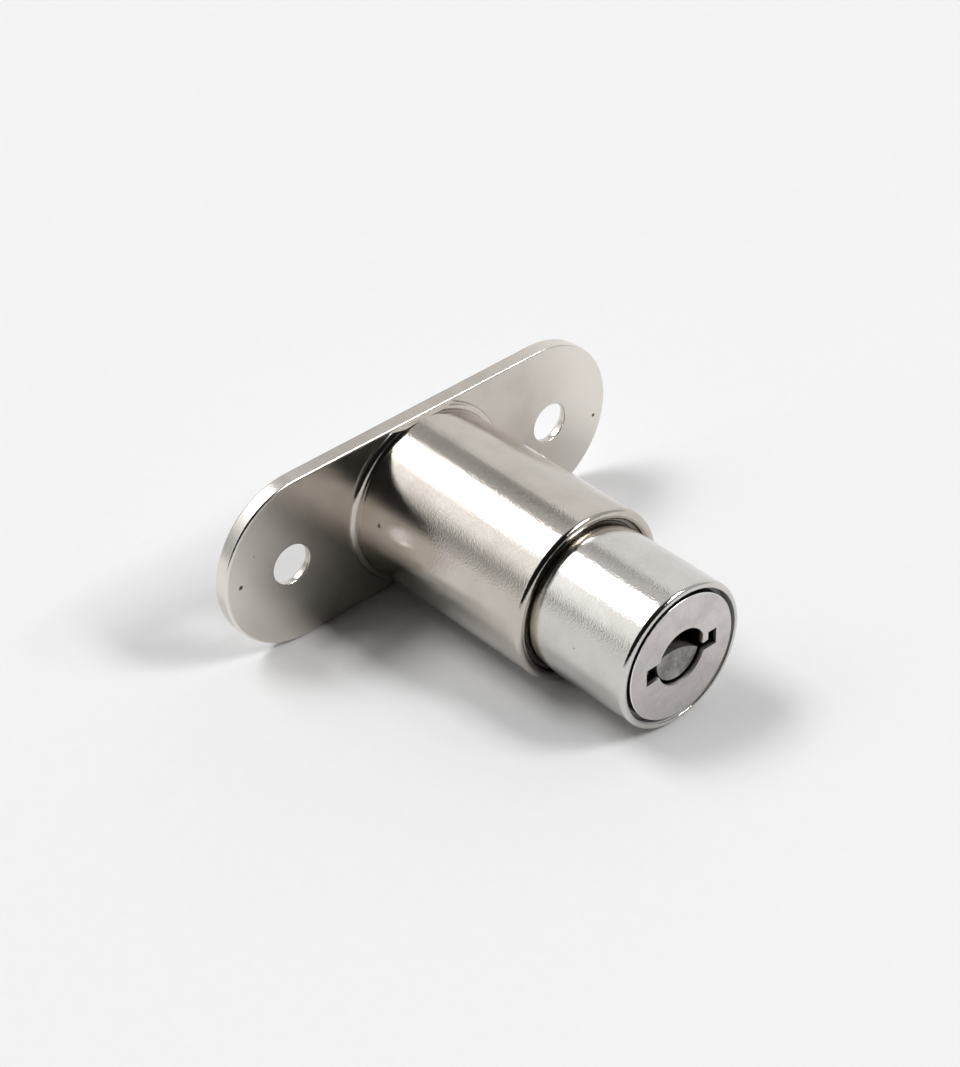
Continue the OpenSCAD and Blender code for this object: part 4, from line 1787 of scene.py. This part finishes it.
@dataclass
class Room:
    """What the metal mirrors: pale walls at the back and sides, and dark behind the camera.

    The left wall is paler above a line and darker below another, and the right wall has a dark
    gap. Each of these parts lies where all its sides meet, and its depth says how much paler or
    darker than the walls it is. All fades towards the zenith, but the right side keeps a least
    tone.
    """

    sky: float = 0.875
    tint: Colour = (1.0, 1.0, 1.003)
    walls: float = 0.9
    least: float = 0.012
    gap: tuple[Side, ...] = (
        Side(-0.77, 0.64, -0.08, 0.03),
        Side(0.12, 0.785, -0.608, 0.04),
        Side(1.0, 0.12, 0.0, 0.08),
    )
    gap_depth: float = -0.66
    gap_end: Ramp = Ramp("Y", low=0.615, high=0.635, start=1.0, end=0.5)
    low: tuple[Side, ...] = (
        Side(0.24, 0.69, -0.64, 0.04),
        Side(0.60, 0.77, 0.22, 0.035),
        Side(-1.0, -0.12, 0.0, 0.08),
    )
    low_depth: float = -0.52
    wedge: tuple[Side, ...] = (
        Side(-1.0, -0.12, 0.0, 0.08),
        Side(-0.24, -0.69, 0.64, 0.04),
    )
    wedge_rise: Ramp = Ramp("Y", low=0.585, high=0.63, start=0.28, end=0.85)
    front: tuple[Side, ...] = (Side(0.3, 1.0, 0.0, 0.14),)
    zenith: Ramp = Ramp("Z", low=0.78, high=0.88, start=1.0, end=0.65)
    flank: Ramp = Ramp("X", low=0.2, high=0.6, start=0.0, end=0.5)

    def build(self) -> None:
        """Makes the room as the scene's world."""
        world = bpy.data.worlds.new("pale studio")
        bpy.context.scene.world = world
        world.use_nodes = True
        graph = Graph(world.node_tree)
        way = graph.add("ShaderNodeTexCoord").outputs["Generated"]
        parts = graph.parts(way)
        gap_end, rise = self.gap_end.along(graph, parts), self.wedge_rise.along(graph, parts)
        gap = graph.maths("MULTIPLY", self.meet(graph, way, self.gap), gap_end)
        low, wedge = self.meet(graph, way, self.low), self.meet(graph, way, self.wedge)
        tone = graph.maths("MULTIPLY_ADD", wedge, rise, self.walls)
        tone = graph.maths("MULTIPLY_ADD", gap, self.gap_depth, tone)
        tone = graph.maths("MULTIPLY_ADD", low, self.low_depth, tone)
        tone = graph.maths("MULTIPLY", tone, self.meet(graph, way, self.front))
        tone = graph.maths("MULTIPLY", tone, self.zenith.along(graph, parts))
        tone = graph.maths("MAXIMUM", tone, self.flank.along(graph, parts))
        tone = graph.maths("ADD", tone, self.least)
        seen = graph.add("ShaderNodeLightPath").outputs["Is Camera Ray"]
        plain = graph.maths("MULTIPLY", seen, self.sky)
        mirrored = graph.maths("MULTIPLY", graph.maths("SUBTRACT", 1.0, seen), tone)
        strength = graph.maths("ADD", plain, mirrored)
        back = graph.add("ShaderNodeBackground", {"Color": self.tint, "Strength": strength})
        graph.add("ShaderNodeOutputWorld", {"Surface": back.outputs[0]})

    @staticmethod
    def meet(graph: Graph, way: Any, sides: tuple[Side, ...]) -> Any:
        """How far a direction lies on all of some sides.

        Args:
            graph: The graph of the world.
            way: The direction.
            sides: The sides.

        Returns:
            The socket of the result, from 0 to 1.
        """
        inside: Any = 1.0
        for side in sides:
            flat = graph.vector("DOT_PRODUCT", way, (side.x, side.y, side.z))
            within = graph.fade(flat, -side.soft, side.soft)
            inside = graph.maths("MULTIPLY", inside, within)
        return inside


@dataclass
class Studio:
    """Pale floor, soft light and the camera at the photograph's angle.

    The focal length and the long side are in pixels of the photograph, and the camera's
    distance and shifts in millimetres.
    """

    azimuth: float = -40.57
    elevation: float = 37.307
    roll: float = -2.268
    distance: float = 240.983
    shift_x: float = 3.693
    shift_y: float = -1.667
    focal: float = 2394.882
    long_side: float = 1067.0
    sensor: float = 36.0
    clip_from: float = 0.01
    clip_to: float = 50.0
    centre: tuple[float, float, float] = (0.0, -14.0, 0.0)
    floor_back: Point = (1.6, -9.77)
    floor_front: Point = (-36.7, -7.97)
    floor_size: float = 8.0
    floor_cells: int = 8
    floor_tone: Colour = (0.727, 0.727, 0.730)
    speckle: float = 0.99
    speckle_scale: float = 900.0
    floor_rough: float = 0.9
    floor_gloss: float = 0.1
    panels: tuple[Panel, ...] = (
        Panel("back panel", x=-0.61, y=1.2, width=1.1, depth=0.8, turn=13.0, radiance=11.0),
        Panel("corner panel", x=0.02, y=1.71, width=0.45, depth=0.25, turn=38.2, radiance=7.0),
        Panel("front panel", x=1.1, y=-1.7, width=0.6, depth=1.3, turn=0.0, radiance=24.0),
        Panel("edge panel", x=1.78, y=-2.0, width=0.25, depth=0.25, turn=0.0, radiance=60.0),
    )

    def build(self) -> None:
        """Makes the whole studio."""
        scene = bpy.context.scene
        scene.view_settings.view_transform = "Standard"
        scene.view_settings.look = "None"
        self.camera()
        self.floor()
        Room().build()
        for panel in self.panels:
            panel.build()

    def axes(self) -> tuple[Vector, Vector, Vector]:
        """The camera's axes, with its roll.

        Returns:
            Its right, up and back directions.
        """
        a, e, roll = (math.radians(v) for v in (self.azimuth, self.elevation, self.roll))
        back = Vector((math.sin(a) * math.cos(e), -math.cos(a) * math.cos(e), math.sin(e)))
        right = Vector((math.cos(a), math.sin(a), 0.0))
        up = back.cross(right)
        c, s = math.cos(roll), math.sin(roll)
        return c * right + s * up, c * up - s * right, back

    def camera(self) -> None:
        """Places the camera as fitted to the photograph's outlines."""
        right, up, back = self.axes()
        place = Vector(self.centre) + back * self.distance
        place -= right * self.shift_x + up * self.shift_y
        data = bpy.data.cameras.new("photo camera")
        data.sensor_fit = "AUTO"
        data.sensor_width = self.sensor
        data.lens = self.focal * self.sensor / self.long_side
        data.clip_start, data.clip_end = self.clip_from, self.clip_to
        camera = bpy.data.objects.new("photo camera", data)
        bpy.context.scene.collection.objects.link(camera)
        turn = Matrix((right, up, back)).transposed().to_4x4()
        camera.matrix_world = Matrix.Translation(place * MM) @ turn
        bpy.context.scene.camera = camera

    def floor(self) -> None:
        """A pale floor under the flange's edge and the plunger's rim, clear from below."""
        Bench.clear()
        cells = self.floor_cells
        bpy.ops.mesh.primitive_grid_add(
            x_subdivisions=cells, y_subdivisions=cells, size=self.floor_size
        )
        piece = bpy.context.object
        piece.name = "pale_floor"
        run = Vector(self.floor_back) - Vector(self.floor_front)
        tilt = Matrix.Rotation(math.atan2(run.y, run.x), 4, "X")
        place = Vector((0.0, *self.floor_back)) * MM
        piece.data.transform(Matrix.Translation(place) @ tilt)
        piece.data.materials.append(self.board())

    def board(self) -> bpy.types.Material:
        """The floor's pale board, which is clear from below.

        Returns:
            The material.
        """
        made = bpy.data.materials.new("pale board")
        made.use_nodes = True
        graph = Graph(made.node_tree)
        coords = graph.add("ShaderNodeTexCoord").outputs["Object"]
        noise = graph.noise(coords, self.speckle_scale, detail=4.0)
        second = tuple(v * self.speckle for v in self.floor_tone)
        colour = graph.blend(graph.fade(noise, low=0.3, high=0.7), self.floor_tone, second)
        feeds = {
            "Base Color": colour,
            "Roughness": self.floor_rough,
            "Specular IOR Level": self.floor_gloss,
        }
        board = graph.add("ShaderNodeBsdfPrincipled", feeds).outputs[0]
        clear = graph.add("ShaderNodeBsdfTransparent").outputs[0]
        facing = graph.add("ShaderNodeNewGeometry").outputs["Backfacing"]
        mixed = graph.add("ShaderNodeMixShader", {0: facing, 1: board, 2: clear})
        graph.add("ShaderNodeOutputMaterial", {"Surface": mixed.outputs[0]})
        return made


def main() -> None:
    """Builds the studio and the lock's groups in order."""
    logging.basicConfig(level=logging.INFO, format="%(name)s: %(message)s")
    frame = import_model()
    Effects().build()
    Studio().build()
    HousingUnit().build()
    PlungerUnit().build()
    PlugUnit().build()
    SpringSet().build()
    InnerParts(frame["nodes"]).build()
    Bench.clear()


if __name__ == "__main__":
    main()
